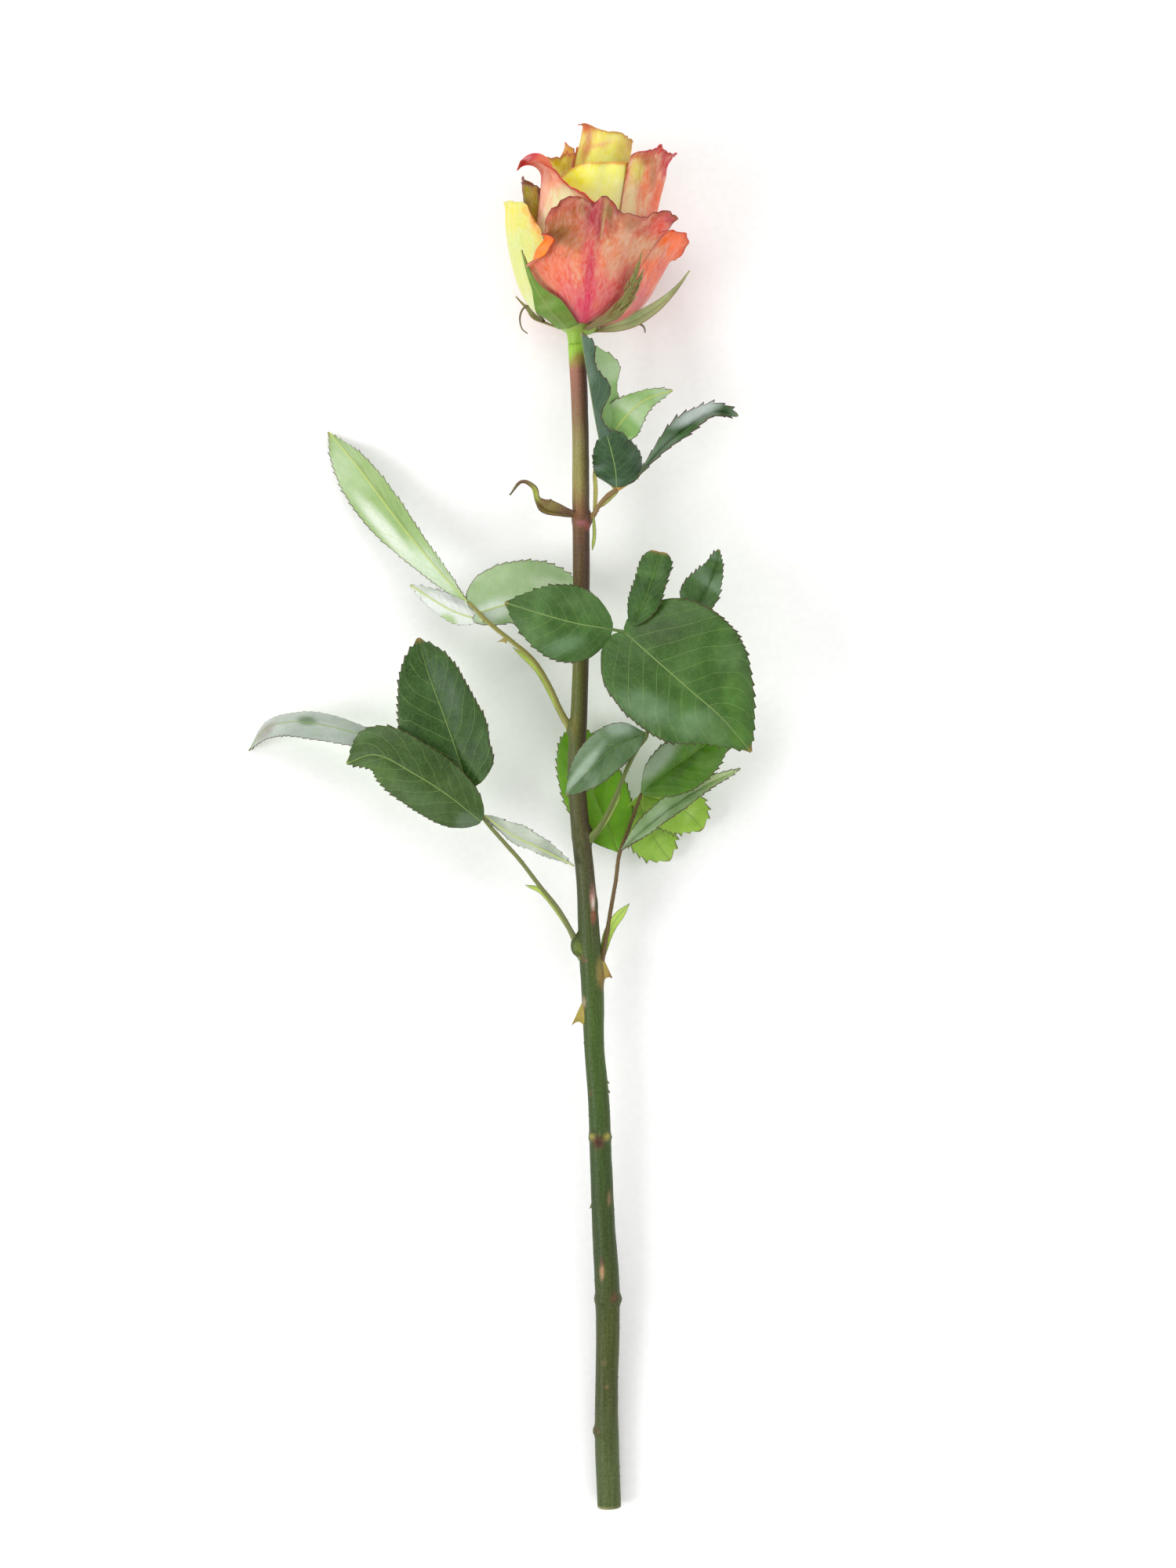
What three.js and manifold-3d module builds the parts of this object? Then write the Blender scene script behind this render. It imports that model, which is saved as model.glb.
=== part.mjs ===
// A single cut rose, laid on its side as on a table.
// Millimetres, with +Z up. The stem runs along Y, with the bloom at +Y and the cut end at -Y.
// The places below are measured from a point on the table under the middle of the stem.
// At the end the whole flower moves by `middle`, which puts the origin under its middle.

import * as THREE from 'three';
import { mergeVertices } from 'three/addons/utils/BufferGeometryUtils.js';
import Module from 'manifold-3d';

const wasm = await Module();
wasm.setup();

// Sizes that the whole flower shares.
const middle = [28.2, 14.8, 0];
const leafWall = 0.7;
const petalWall = 0.7;
const sepalWall = 0.8;
const clearance = 0.3;
const toothReach = 1.1;
const radian = Math.PI / 180;

// The axis of the head: where its petals start, and how it leans to the right.
const headBase = new THREE.Vector3(-3.2, 148.4, 26.8);
const headAxis = new THREE.Vector3(0.105, 0.994, 0.01).normalize();
const headSide = new THREE.Vector3().crossVectors(headAxis, new THREE.Vector3(0, 0, 1)).normalize();
const headFront = new THREE.Vector3().crossVectors(headSide, headAxis);

// Finishes.
const finishes = {
  coral: { color: '#e2654f', roughness: 0.6 },
  orange: { color: '#ee7a45', roughness: 0.6 },
  yellow: { color: '#ece878', roughness: 0.6 },
  cream: { color: '#ecdca4', roughness: 0.6 },
  olive: { color: '#a7702f', roughness: 0.6 },
  sepal: { color: '#6d9448', roughness: 0.6 },
  leaf: { color: '#356a35', roughness: 0.45 },
  bract: { color: '#7f7340', roughness: 0.55 },
  stem: { color: '#5c6f42', roughness: 0.5 },
};

// Curves and solids.

// A smooth curve through rows of numbers, with t from 0 at the first row to 1 at the last.
function through(rows, t) {
  const last = rows.length - 1;
  const place = THREE.MathUtils.clamp(t, 0, 1) * last;
  const first = Math.min(Math.floor(place), last - 1);
  const w = place - first;
  return rows[first].map((from, n) => {
    const to = rows[first + 1][n];
    const before = first > 0 ? rows[first - 1][n] : 2 * from - to;
    const after = first < last - 1 ? rows[first + 2][n] : 2 * to - from;
    const leave = (to - before) / 2;
    const arrive = (after - from) / 2;
    const bend = 3 * (to - from) - 2 * leave - arrive;
    const twist = 2 * (from - to) + leave + arrive;
    return from + w * (leave + w * (bend + w * twist));
  });
}

function profile(values, t) {
  return through(values.map((value) => [value]), t)[0];
}

function geometryFrom(positions, index) {
  const geometry = new THREE.BufferGeometry();
  geometry.setAttribute('position', new THREE.Float32BufferAttribute(positions, 3));
  geometry.setIndex(index);
  geometry.computeVertexNormals();
  return geometry;
}

// A closed thin wall on both sides of an open surface, split alike on both faces.
function wall(points, faces, thickness) {
  const normals = points.map(() => new THREE.Vector3());
  const edges = new Map();
  for (const face of faces) {
    const [a, b, c] = face.map((corner) => points[corner]);
    const out = b.clone().sub(a).cross(c.clone().sub(a));
    face.forEach((corner, n) => {
      const next = face[(n + 1) % 3];
      normals[corner].add(out);
      edges.set(`${corner} ${next}`, [corner, next]);
    });
  }
  const positions = [];
  for (const offset of [thickness / 2, -thickness / 2]) {
    points.forEach((place, n) => {
      positions.push(...place.clone().addScaledVector(normals[n].clone().normalize(), offset));
    });
  }
  const back = points.length;
  const index = faces.flatMap(([a, b, c]) => [a, b, c, back + a, back + c, back + b]);
  for (const [from, to] of edges.values()) {
    if (!edges.has(`${to} ${from}`)) {
      index.push(to, from, back + from, to, back + from, back + to);
    }
  }
  return geometryFrom(positions, index);
}

// A round rod through centre points, with a radius at each point and rounded flat ends.
function rod(centres, radii, sides, steps) {
  const positions = [];
  const index = [];
  const centre = (t) => new THREE.Vector3(...through(centres, t));
  for (let ring = 0; ring <= steps; ring += 1) {
    const t = ring / steps;
    const ahead = centre(t + 0.01).sub(centre(t - 0.01)).normalize();
    const up = Math.abs(ahead.z) > 0.9 ? new THREE.Vector3(0, 1, 0) : new THREE.Vector3(0, 0, 1);
    const side = new THREE.Vector3().crossVectors(ahead, up).normalize();
    const top = new THREE.Vector3().crossVectors(side, ahead);
    const radius = profile(radii, t);
    for (let n = 0; n < sides; n += 1) {
      const turn = (n / sides) * 2 * Math.PI;
      const place = centre(t).addScaledVector(side, radius * Math.cos(turn));
      positions.push(...place.addScaledVector(top, radius * Math.sin(turn)));
    }
  }
  for (let ring = 0; ring < steps; ring += 1) {
    for (let n = 0; n < sides; n += 1) {
      const here = ring * sides + n;
      const next = ring * sides + ((n + 1) % sides);
      index.push(here, here + sides, next, next, here + sides, next + sides);
    }
  }
  const start = positions.length / 3;
  positions.push(...centre(0), ...centre(1));
  for (let n = 0; n < sides; n += 1) {
    const next = (n + 1) % sides;
    index.push(start, n, next);
    index.push(start + 1, steps * sides + next, steps * sides + n);
  }
  return geometryFrom(positions, index);
}

// The index of rod() winds inwards or outwards with its frame, so the volume decides.
function outward(geometry) {
  const position = geometry.getAttribute('position');
  const index = geometry.getIndex();
  const corner = (n) => new THREE.Vector3().fromBufferAttribute(position, index.getX(n));
  let volume = 0;
  for (let n = 0; n < index.count; n += 3) {
    volume += corner(n).dot(corner(n + 1).cross(corner(n + 2)));
  }
  if (volume < 0) {
    for (let n = 0; n < index.count; n += 3) {
      const kept = index.getX(n + 1);
      index.setX(n + 1, index.getX(n + 2));
      index.setX(n + 2, kept);
    }
  }
  return geometry;
}

function solid(geometry) {
  geometry.deleteAttribute('normal');
  geometry.deleteAttribute('uv');
  const merged = outward(mergeVertices(geometry, 1e-4));
  return new wasm.Manifold(new wasm.Mesh({
    numProp: 3,
    vertProperties: new Float32Array(merged.getAttribute('position').array),
    triVerts: new Uint32Array(merged.getIndex().array),
  }));
}

function fuse(solids) {
  return solids.reduce((whole, piece) => whole.add(piece));
}

function meshOf(name, body, finish) {
  const data = body.getMesh();
  const geometry = geometryFrom(Array.from(data.vertProperties), Array.from(data.triVerts));
  const material = new THREE.MeshStandardMaterial({ ...finishes[finish], metalness: 0 });
  const mesh = new THREE.Mesh(geometry, material);
  mesh.name = name;
  return mesh;
}

// Leaves.

// Half widths from the base to the tip, as a share of the widest place.
const outlines = {
  ovate: [0, 0.66, 0.93, 1, 0.93, 0.74, 0.42, 0],
  round: [0, 0.78, 0.97, 1, 0.96, 0.84, 0.54, 0],
  lance: [0, 0.45, 0.8, 1, 0.95, 0.75, 0.4, 0],
  bract: [0.3, 0.8, 1, 0.7, 0.3, 0.25, 0.22, 0.15, 0],
  wing: [0.3, 0.8, 1, 1, 0.9, 0],
  sepal: [0.3, 0.8, 1, 0.95, 0.76, 0.54, 0.32, 0.14, 0],
};

// A place on a blade: along runs from base to tip, across from -1 at the left margin to 1.
// The left and right are those of someone who looks at the upper side towards the tip.
function bladePoint(leaf, along, across) {
  const rib = (t) => new THREE.Vector3(...through(leaf.rib, t));
  const ahead = rib(along + 0.02).sub(rib(along - 0.02)).normalize();
  const face = new THREE.Vector3(...through(leaf.face, along));
  const side = new THREE.Vector3().crossVectors(ahead, face).normalize();
  const up = new THREE.Vector3().crossVectors(side, ahead);
  const reach = Math.abs(across);
  const half = across < 0 ? leaf.left : leaf.right;
  const width = half * reach * profile(outlines[leaf.outline], along);
  const back = leaf.lobe * reach * Math.max(0, 1 - along / 0.35) ** 2;
  const bend = (leaf.fold + (leaf.curl * reach) / 2) * radian;
  const [height, count] = leaf.wave;
  const turn = 2 * Math.PI * (count * along + (across < 0 ? 0.5 : 0));
  const place = rib(along).addScaledVector(side, Math.sign(across) * width * Math.cos(bend));
  place.addScaledVector(ahead, -back);
  place.addScaledVector(up, width * Math.sin(bend) + height * Math.sin(turn) * reach ** 2);
  place.z = Math.max(place.z, leafWall / 2);
  return place;
}

// A blade with a row of forward teeth on both margins.
function blade(leaf) {
  const { columns } = leaf;
  const points = [bladePoint(leaf, 0, 0)];
  const faces = [];
  const rowStart = (row) => 1 + (row - 1) * columns.length;
  for (let row = 1; row < leaf.rows; row += 1) {
    columns.forEach((across) => points.push(bladePoint(leaf, row / leaf.rows, across)));
  }
  const tip = points.push(bladePoint(leaf, 1, 0)) - 1;
  const lastRow = rowStart(leaf.rows - 1);
  for (let n = 0; n < columns.length - 1; n += 1) {
    faces.push([0, rowStart(1) + n + 1, rowStart(1) + n]);
    faces.push([tip, lastRow + n, lastRow + n + 1]);
    for (let row = 1; row < leaf.rows - 1; row += 1) {
      const a = rowStart(row) + n;
      const b = rowStart(row + 1) + n;
      if (columns[n] < 0) faces.push([a, a + 1, b], [b, a + 1, b + 1]);
      else faces.push([a, a + 1, b + 1], [a, b + 1, b]);
    }
  }
  for (let row = 1; leaf.tooth > 0 && row < leaf.rows - 1; row += 1) {
    const along = (row + 0.75) / leaf.rows;
    const room = profile(outlines[leaf.outline], along);
    for (const across of [-1, 1]) {
      const half = across < 0 ? leaf.left : leaf.right;
      const share = across * (1 + leaf.tooth / (half * room));
      const tooth = points.push(bladePoint(leaf, along, share)) - 1;
      const edge = across < 0 ? 0 : columns.length - 1;
      const low = rowStart(row) + edge;
      const high = rowStart(row + 1) + edge;
      faces.push(across < 0 ? [low, high, tooth] : [high, low, tooth]);
    }
  }
  return solid(wall(points, faces, leaf.wall));
}

const plain = {
  outline: 'ovate', face: [[0, 0, 1], [0, 0, 1]], fold: 0, curl: 0, wave: [0, 1],
  lobe: 0, rows: 8, columns: [-1, -0.5, 0, 0.5, 1], tooth: toothReach, wall: leafWall,
};
const narrow = [-1, 0, 1];

function leaflet(values) {
  return blade({ ...plain, ...values });
}

function wing(values) {
  return leaflet({ outline: 'wing', rows: 5, columns: narrow, tooth: 0, ...values });
}

function stalk(centres, radii) {
  return solid(rod(centres, radii, 6, Math.ceil(1.5 * (centres.length - 1))));
}

// A prickle: a broad foot that narrows to a hooked tip.
function prickle(foot, tip, radius) {
  const lift = foot.map((value, n) => (value + tip[n]) / 2 + (n === 1 ? radius * 0.25 : 0));
  return solid(rod([foot, lift, tip], [radius, radius * 0.5, 0.15], 6, 2));
}

// The stem, with its swellings, prickles and old leaf scars.

const stemCentres = [
  [7, -239, 4.1], [6.2, -217, 5], [6.1, -200, 6.1], [6.5, -181, 7.3], [6.3, -164, 8.3],
  [5.2, -146, 9.3], [3.9, -122, 10.6], [3.2, -104, 11.6], [2, -86, 12.6], [0.9, -68, 13.8],
  [-0.4, -50, 14.8], [-1.3, -32, 15.8], [-2.8, -14, 16.7], [-3.8, 4, 17.6], [-3, 22, 18.8],
  [-2.6, 40, 19.8], [-2.5, 58, 20.9], [-2.5, 76, 22], [-2.7, 94, 23.1], [-2.8, 112, 24.3],
  [-3.2, 128, 25.3], [-3.6, 140.4, 26.6],
];
const stemRadii = [
  3.9, 4, 3.75, 3.85, 4.1,
  3.8, 3.6, 3.5, 3.3, 3.7,
  3.6, 3.1, 3.05, 2.9, 2.75,
  2.65, 2.7, 2.75, 2.8, 2.7,
  2.75, 2.9,
];
const stemSides = 12;
const stemSteps = 28;

// Low swellings on the stem: centre, half length and half width.
const swellings = [
  { at: [-2.3, 86.5, 22.8], long: 4.5, wide: 3.5 },
  { at: [-1.4, -55.5, 14.6], long: 5.5, wide: 4.1 },
  { at: [-1.6, -17, 17.2], long: 5, wide: 3.5 },
  { at: [2.6, -62, 14.4], long: 5.5, wide: 4.1 },
  { at: [-4.4, 18.5, 18.6], long: 4.5, wide: 3.1 },
  { at: [4.4, -115.8, 12.4], long: 3.6, wide: 4.2 },
  { at: [6.6, -169.5, 8.2], long: 4.2, wide: 4.9 },
  { at: [4.1, -213.5, 5.6], long: 3, wide: 3.1 },
  { at: [2.2, -41, 17], long: 5.6, wide: 2.6 },
];

const thorns = [
  { foot: [3.2, -61.5, 14.2], tip: [8.2, -63.4, 14.4], radius: 2.3 },
  { foot: [-1.6, -75.5, 13.6], tip: [-5.4, -79.4, 13.6], radius: 2.2 },
  { foot: [3.4, -84, 13], tip: [6, -84.8, 13.2], radius: 1.3 },
  { foot: [5.8, -101, 12], tip: [7.7, -100, 12], radius: 1.4 },
  { foot: [2, -138, 10], tip: [0.6, -139.4, 10], radius: 1.5 },
  { foot: [0.4, -33, 12.8], tip: [0.8, -34.6, 10.2], radius: 1.5 },
  { foot: [3.9, -96, 8.6], tip: [4.2, -97.6, 5.4], radius: 1.5 },
];

function swelling({ at, long, wide }) {
  const ball = new THREE.SphereGeometry(1, 8, 5);
  ball.scale(wide, long, wide);
  ball.translate(...at);
  return solid(ball);
}

function buildStem() {
  return fuse([
    solid(rod(stemCentres, stemRadii, stemSides, stemSteps)),
    ...swellings.map(swelling),
    ...thorns.map(({ foot, tip, radius }) => prickle(foot, tip, radius)),
  ]);
}

// The room that the leaves leave free around the stem.
function stemRoom() {
  const radii = stemRadii.map((radius) => radius + clearance + 0.1);
  const grown = swellings.map(({ at, long, wide }) => (
    swelling({ at, long: long + clearance + 0.1, wide: wide + clearance + 0.1 })
  ));
  return fuse([solid(rod(stemCentres, radii, stemSides, stemSteps)), ...grown]);
}

// The compound leaves, each one piece: a stalk with stipules, and its leaflets.

const down = [[0, 0, -1], [0, 0, -1]];

function upperLeftLeaf() {
  const stem = [
    [-4.5, 16.5, 18.4], [-8.5, 23, 19.2], [-12.6, 32, 20.8], [-17.8, 40.2, 21.5],
    [-25, 46.5, 21.5], [-32.6, 52.7, 21], [-39, 59.2, 20],
  ];
  return fuse([
    stalk(stem, [1.6, 1.1, 1, 1, 0.95, 0.9, 0.75]),
    wing({
      rib: [[-7.5, 19.5, 18.8], [-11.8, 30, 20.3], [-17, 38.6, 21.2], [-24.5, 44.5, 21.3]],
      left: 1.8, right: 0.6,
    }),
    prickle([-26.4, 46.9, 21.4], [-29.6, 46, 21.2], 0.7),
    leaflet({
      rib: [[-39, 59.2, 20], [-48.6, 69.5, 17.5], [-61.6, 85.3, 13], [-75.5, 103.9, 7], [-86.3, 117, 0.6]],
      face: [[0.1, 0.1, -1], [-0.25, 0.2, -0.95]],
      outline: 'lance', left: 4.4, right: 9, fold: 10, wave: [0.5, 3], rows: 11,
    }),
    leaflet({
      rib: [[-35.6, 55.8, 20.4], [-23, 59.4, 16.5], [-9.8, 61.1, 13], [3, 60.7, 11]],
      face: down, outline: 'round', left: 12, right: 14, fold: 8, curl: 8, wave: [0.4, 2], rows: 9, lobe: 5,
    }),
    leaflet({
      rib: [[-33.6, 53, 20.6], [-44.8, 56.8, 17], [-57.3, 64.2, 13]],
      face: [[0, 0.3, -1], [0, 0.2, -1]],
      outline: 'lance', left: 5.5, right: 5, fold: 42, wave: [0.5, 2], columns: narrow,
    }),
  ]);
}

function lowerLeftLeaf() {
  const stem = [
    [-1.5, -57, 14.6], [-5.2, -49, 14.9], [-9.7, -41, 15.6], [-15.4, -33.8, 16.5], [-22, -25.1, 17.5],
    [-27.9, -18.4, 18], [-33.7, -11.5, 19], [-38.8, -2, 20], [-50.6, 5.1, 17.8], [-62.9, 11, 15],
  ];
  return fuse([
    stalk(stem, [1.9, 1.4, 1.1, 1.05, 1, 0.95, 0.9, 0.85, 0.7, 0.6]),
    wing({
      rib: [[-4.4, -50.5, 14.8], [-9.4, -41.6, 15.6], [-15.2, -34.6, 16.4], [-20, -34, 16.5]],
      left: 1.9, right: 0.5,
    }),
    leaflet({
      rib: [[-33.4, -11.8, 18.9], [-25.6, -16.6, 19.6], [-16, -20.8, 20.2], [-5.8, -25.2, 20.8]],
      face: [[0, 0.35, -1], [0, 0.3, -1]],
      outline: 'lance', left: 4.6, right: 5, fold: 50, wave: [0.4, 3], rows: 8, columns: narrow,
    }),
    leaflet({
      rib: [[-38.8, -1.6, 20.5], [-42.4, 14, 23.5], [-47.7, 27.9, 25], [-52, 36.8, 25.4], [-55.4, 46.6, 24]],
      left: 11.8, right: 12.2, fold: 16, curl: -10, wave: [0.4, 2], rows: 10, lobe: 3,
    }),
    leaflet({
      rib: [[-37.7, -4.6, 21], [-48.3, 1, 24], [-63.5, 8.6, 24], [-78.6, 7, 19]],
      face: [[0, -0.15, 1], [-0.1, 0.1, 1]],
      left: 11.5, right: 10, fold: -6, curl: -22, wave: [0.4, 2], rows: 9, lobe: 3,
    }),
    leaflet({
      rib: [[-62.9, 11, 15], [-77, 17, 15], [-94.1, 20.4, 12], [-105.6, 18.6, 7.5], [-112.9, 10.9, 0.4]],
      face: [[-0.1, 0.55, 0.8], [-0.3, 0.45, 0.8]],
      left: 5, right: 5.4, fold: -22, wave: [0.3, 3], rows: 10,
    }),
  ]);
}

function frontRightLeaf() {
  const stem = [
    [-1.2, -19.5, 17.4], [2.6, -15.5, 20.2], [5.6, -10.8, 23], [9, -3.6, 27.3], [12.6, 5, 31],
    [15.8, 11.3, 33.5], [19, 16.4, 35], [18.1, 27.6, 35.4], [14.5, 40.1, 35.4], [11.8, 48.7, 35.8],
  ];
  return fuse([
    stalk(stem, [2, 1.6, 1.25, 1.1, 1.05, 1, 0.95, 0.95, 0.9, 0.8]),
    wing({
      rib: [[1.6, -18, 18.9], [4.9, -12.6, 22], [8.4, -6, 25.6], [10.4, -1, 28]],
      left: 0.5, right: 1.6,
    }),
    stalk([[11.8, 48.7, 35.4], [20.2, 49.4, 32.4], [28.3, 50.5, 30]], [0.8, 0.7, 0.65]),
    stalk([[11.8, 48.7, 35.6], [9, 49.2, 36], [5.4, 49.8, 36.2]], [0.8, 0.7, 0.6]),
    leaflet({
      rib: [[18.6, 16.4, 35.2], [8.8, 12.1, 34], [0, 3.8, 31], [-7.4, -3.7, 27]],
      face: [[-0.2, 0.1, 1], [-0.2, 0, 1]],
      outline: 'ovate', left: 6.6, right: 8.4, fold: 20, curl: -20, wave: [0.5, 2], rows: 9,
    }),
    leaflet({
      rib: [[7.4, 49.5, 36.2], [-3.2, 51.2, 37.5], [-15, 54.4, 36.5], [-27, 58.4, 32]],
      outline: 'round', left: 13, right: 11.5, fold: -2, curl: -18, wave: [0.4, 2], rows: 9, lobe: 3,
    }),
    leaflet({
      rib: [[11.8, 48.4, 36.2], [22.5, 38.7, 40.5], [32.4, 29.9, 42], [42.4, 21.2, 41], [52.2, 10.8, 36]],
      outline: 'round', left: 24, right: 19, fold: 3, curl: -16, wave: [0.6, 2], rows: 12, lobe: 9,
    }),
    leaflet({
      rib: [[12, 49.4, 36], [16, 56.4, 36.5], [22.1, 65.3, 35], [27.7, 74.1, 31]],
      face: [[-0.3, 0.1, 1], [-0.2, 0.2, 1]],
      left: 6.6, right: 4.4, fold: 12, curl: -20, wave: [0.5, 2], columns: narrow,
    }),
    leaflet({
      rib: [[28.3, 50.5, 30], [34.1, 59.4, 29], [39.3, 68.4, 26], [42.4, 76, 22]],
      outline: 'ovate', left: 7, right: 6, fold: 22, wave: [0.4, 2], columns: narrow,
    }),
  ]);
}

function rearRightLeaf() {
  const stem = [
    [2.6, -64.5, 14.4], [6.2, -57, 14.6], [6.6, -48.5, 14], [7.9, -38.5, 14.5],
    [9.2, -30.8, 15], [10.2, -23.1, 15.5], [12.8, -15.9, 15.5], [15.1, -9.7, 15], [17.4, -3.1, 15],
  ];
  return fuse([
    stalk(stem, [1.9, 1.2, 1.05, 1, 0.95, 0.95, 0.9, 0.85, 0.75]),
    wing({
      rib: [[6.4, -57, 14.6], [7.2, -49, 14.2], [9.4, -43.6, 14.6], [13.2, -39.6, 15.2]],
      left: 0.8, right: 2,
    }),
    leaflet({
      rib: [[10, -22.4, 15.2], [5.4, -11.6, 12], [0.3, 0.5, 10.3], [-3.4, 12.6, 9], [-4.4, 20.4, 8.4]],
      outline: 'ovate', left: 9.6, right: 11, fold: 6, curl: -8, wave: [0.4, 2], rows: 9,
    }),
    leaflet({
      rib: [[10.8, -22.4, 15.2], [20.5, -15.9, 13.5], [33.5, -6.9, 9], [50.2, 4.2, 0.4]],
      face: [[-0.3, 0.45, 0.85], [-0.3, 0.45, 0.85]],
      outline: 'lance', left: 6.6, right: 6.6, fold: 58, wave: [0.4, 2], rows: 9, columns: narrow,
    }),
    leaflet({
      rib: [[17.2, -3.4, 15.1], [25.6, 3.8, 17], [33.2, 9.2, 18], [40.4, 14.3, 18], [47.6, 19.2, 17]],
      left: 8.4, right: 10, fold: 18, wave: [0.4, 2],
    }),
    leaflet({
      rib: [[17.2, -3.6, 14.8], [25.7, -5.9, 11.5], [33, -9.8, 9], [38, -15, 7]],
      outline: 'round', left: 7.6, right: 8.4, fold: 4, wave: [0.4, 2], rows: 7,
    }),
    leaflet({
      rib: [[16.8, -3.8, 14.7], [18.5, -11.6, 10.5], [22.2, -18.6, 7.5], [27.2, -25.4, 5]],
      outline: 'round', left: 8, right: 8, fold: 4, wave: [0.4, 2], rows: 6, columns: narrow,
    }),
  ]);
}

function upperLeaf() {
  const stem = [[-1.6, 84.6, 23.4], [1.6, 87, 24.2], [3.8, 90.3, 26], [6.6, 93.1, 27.5], [9.4, 95, 28.5]];
  return fuse([
    stalk(stem, [1.6, 1.2, 1, 1, 0.9]),
    stalk([[9.4, 95, 28.5], [12.6, 96.9, 28.6], [15.9, 99, 28]], [0.8, 0.7, 0.6]),
    stalk([[9, 94.9, 28.4], [6.8, 99, 27.4], [4.8, 105.2, 29]], [0.8, 0.7, 0.7]),
    stalk([[7.2, 98, 27.6], [7, 105, 27.4], [6.8, 112.4, 28]], [0.6, 0.6, 0.6]),
    wing({ rib: [[1.9, 86.6, 24.4], [2.4, 94.2, 26], [1.9, 102.4, 27]], left: 1, right: 0.9 }),
    wing({ rib: [[1.6, 87.6, 24.6], [2, 81.2, 25.2], [1.6, 75.6, 25.4]], left: 1, right: 0.8 }),
    leaflet({
      rib: [[9.2, 95, 28.8], [8.8, 101, 31], [7.4, 107.2, 32], [5.4, 114, 31.4]],
      outline: 'round', left: 6.4, right: 9.4, fold: -8, curl: -30, wave: [0.8, 2], rows: 7,
    }),
    leaflet({
      rib: [[6.8, 111.6, 28], [12.1, 118.3, 28.5], [18.7, 124, 27.5], [25.8, 127.6, 25]],
      face: down, outline: 'ovate', left: 4.6, right: 5, fold: 6, wave: [0.6, 2], rows: 7, columns: narrow,
    }),
    leaflet({
      rib: [[4.8, 104.6, 29], [2.6, 114.7, 31.5], [0, 129.5, 33.5], [-2.6, 145, 36]],
      face: [[-1, 0.15, 0.15], [-1, 0.15, 0.15]],
      outline: 'ovate', left: 9.4, right: 5.6, fold: -70, wave: [0.5, 3], rows: 9,
    }),
    leaflet({
      rib: [[15.7, 98.9, 28], [25.3, 109.5, 28], [33.9, 116.5, 27], [41.1, 120.3, 25], [48.4, 120.1, 22]],
      face: [[-0.1, 0.3, 1], [-0.1, 0.3, 1]],
      outline: 'lance', left: 4.4, right: 4.4, fold: 30, wave: [0.6, 2], rows: 9, columns: narrow,
    }),
  ]);
}

function bractLeaf() {
  return leaflet({
    rib: [
      [-3, 86.6, 23.4], [-8.6, 87.4, 25.4], [-14.2, 88.6, 27], [-16.7, 91.8, 28],
      [-17.7, 95.4, 28], [-21.5, 97.5, 27], [-25.4, 93.4, 25],
    ],
    face: [[0, 0.1, 1], [0.3, 0, 1]],
    outline: 'bract', left: 2, right: 4.6, fold: 20, rows: 14, columns: narrow, tooth: 0, wall: 0.8,
  });
}

// The head.

// A place on the head: turned from the front to the right, up its axis and out from it.
function headPoint(turn, height, out) {
  const place = headBase.clone().addScaledVector(headAxis, height);
  place.addScaledVector(headSide, out * Math.sin(turn * radian));
  return place.addScaledVector(headFront, out * Math.cos(turn * radian));
}

// A place on a petal: across runs from -1 to 1 in the sense of the turn, up from foot to rim.
function petalPoint(petal, across, up) {
  const [height, out, before, after, first, second] = through(petal.rows, up);
  const turn = petal.turn + across * (across < 0 ? before : after);
  const span = (across + 1) / 2;
  const rim = up ** 4;
  const stand = (across < 0 ? first : second) * Math.abs(across) ** 1.3;
  const ruffle = petal.ruffle[0] * Math.sin(Math.PI * petal.ruffle[1] * across + petal.turn) * rim;
  const flare = profile(petal.flare, span) * up ** 7;
  const lift = profile(petal.rim, span) * rim;
  const place = headPoint(turn, height + lift, out + stand + ruffle + flare);
  place.z = Math.max(place.z, petalWall / 2);
  return place;
}

function petalWallOf(values) {
  const petal = { ruffle: [0.5, 3], flare: [0, 0], rim: [0, 0], ...values };
  const points = [];
  const faces = [];
  const wide = petal.columns + 1;
  for (let row = 0; row <= petal.steps; row += 1) {
    for (let column = 0; column <= petal.columns; column += 1) {
      points.push(petalPoint(petal, (2 * column) / petal.columns - 1, row / petal.steps));
      if (row < petal.steps && column < petal.columns) {
        const here = row * wide + column;
        faces.push([here, here + 1, here + wide], [here + 1, here + wide + 1, here + wide]);
      }
    }
  }
  return solid(wall(points, faces, petalWall));
}

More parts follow.
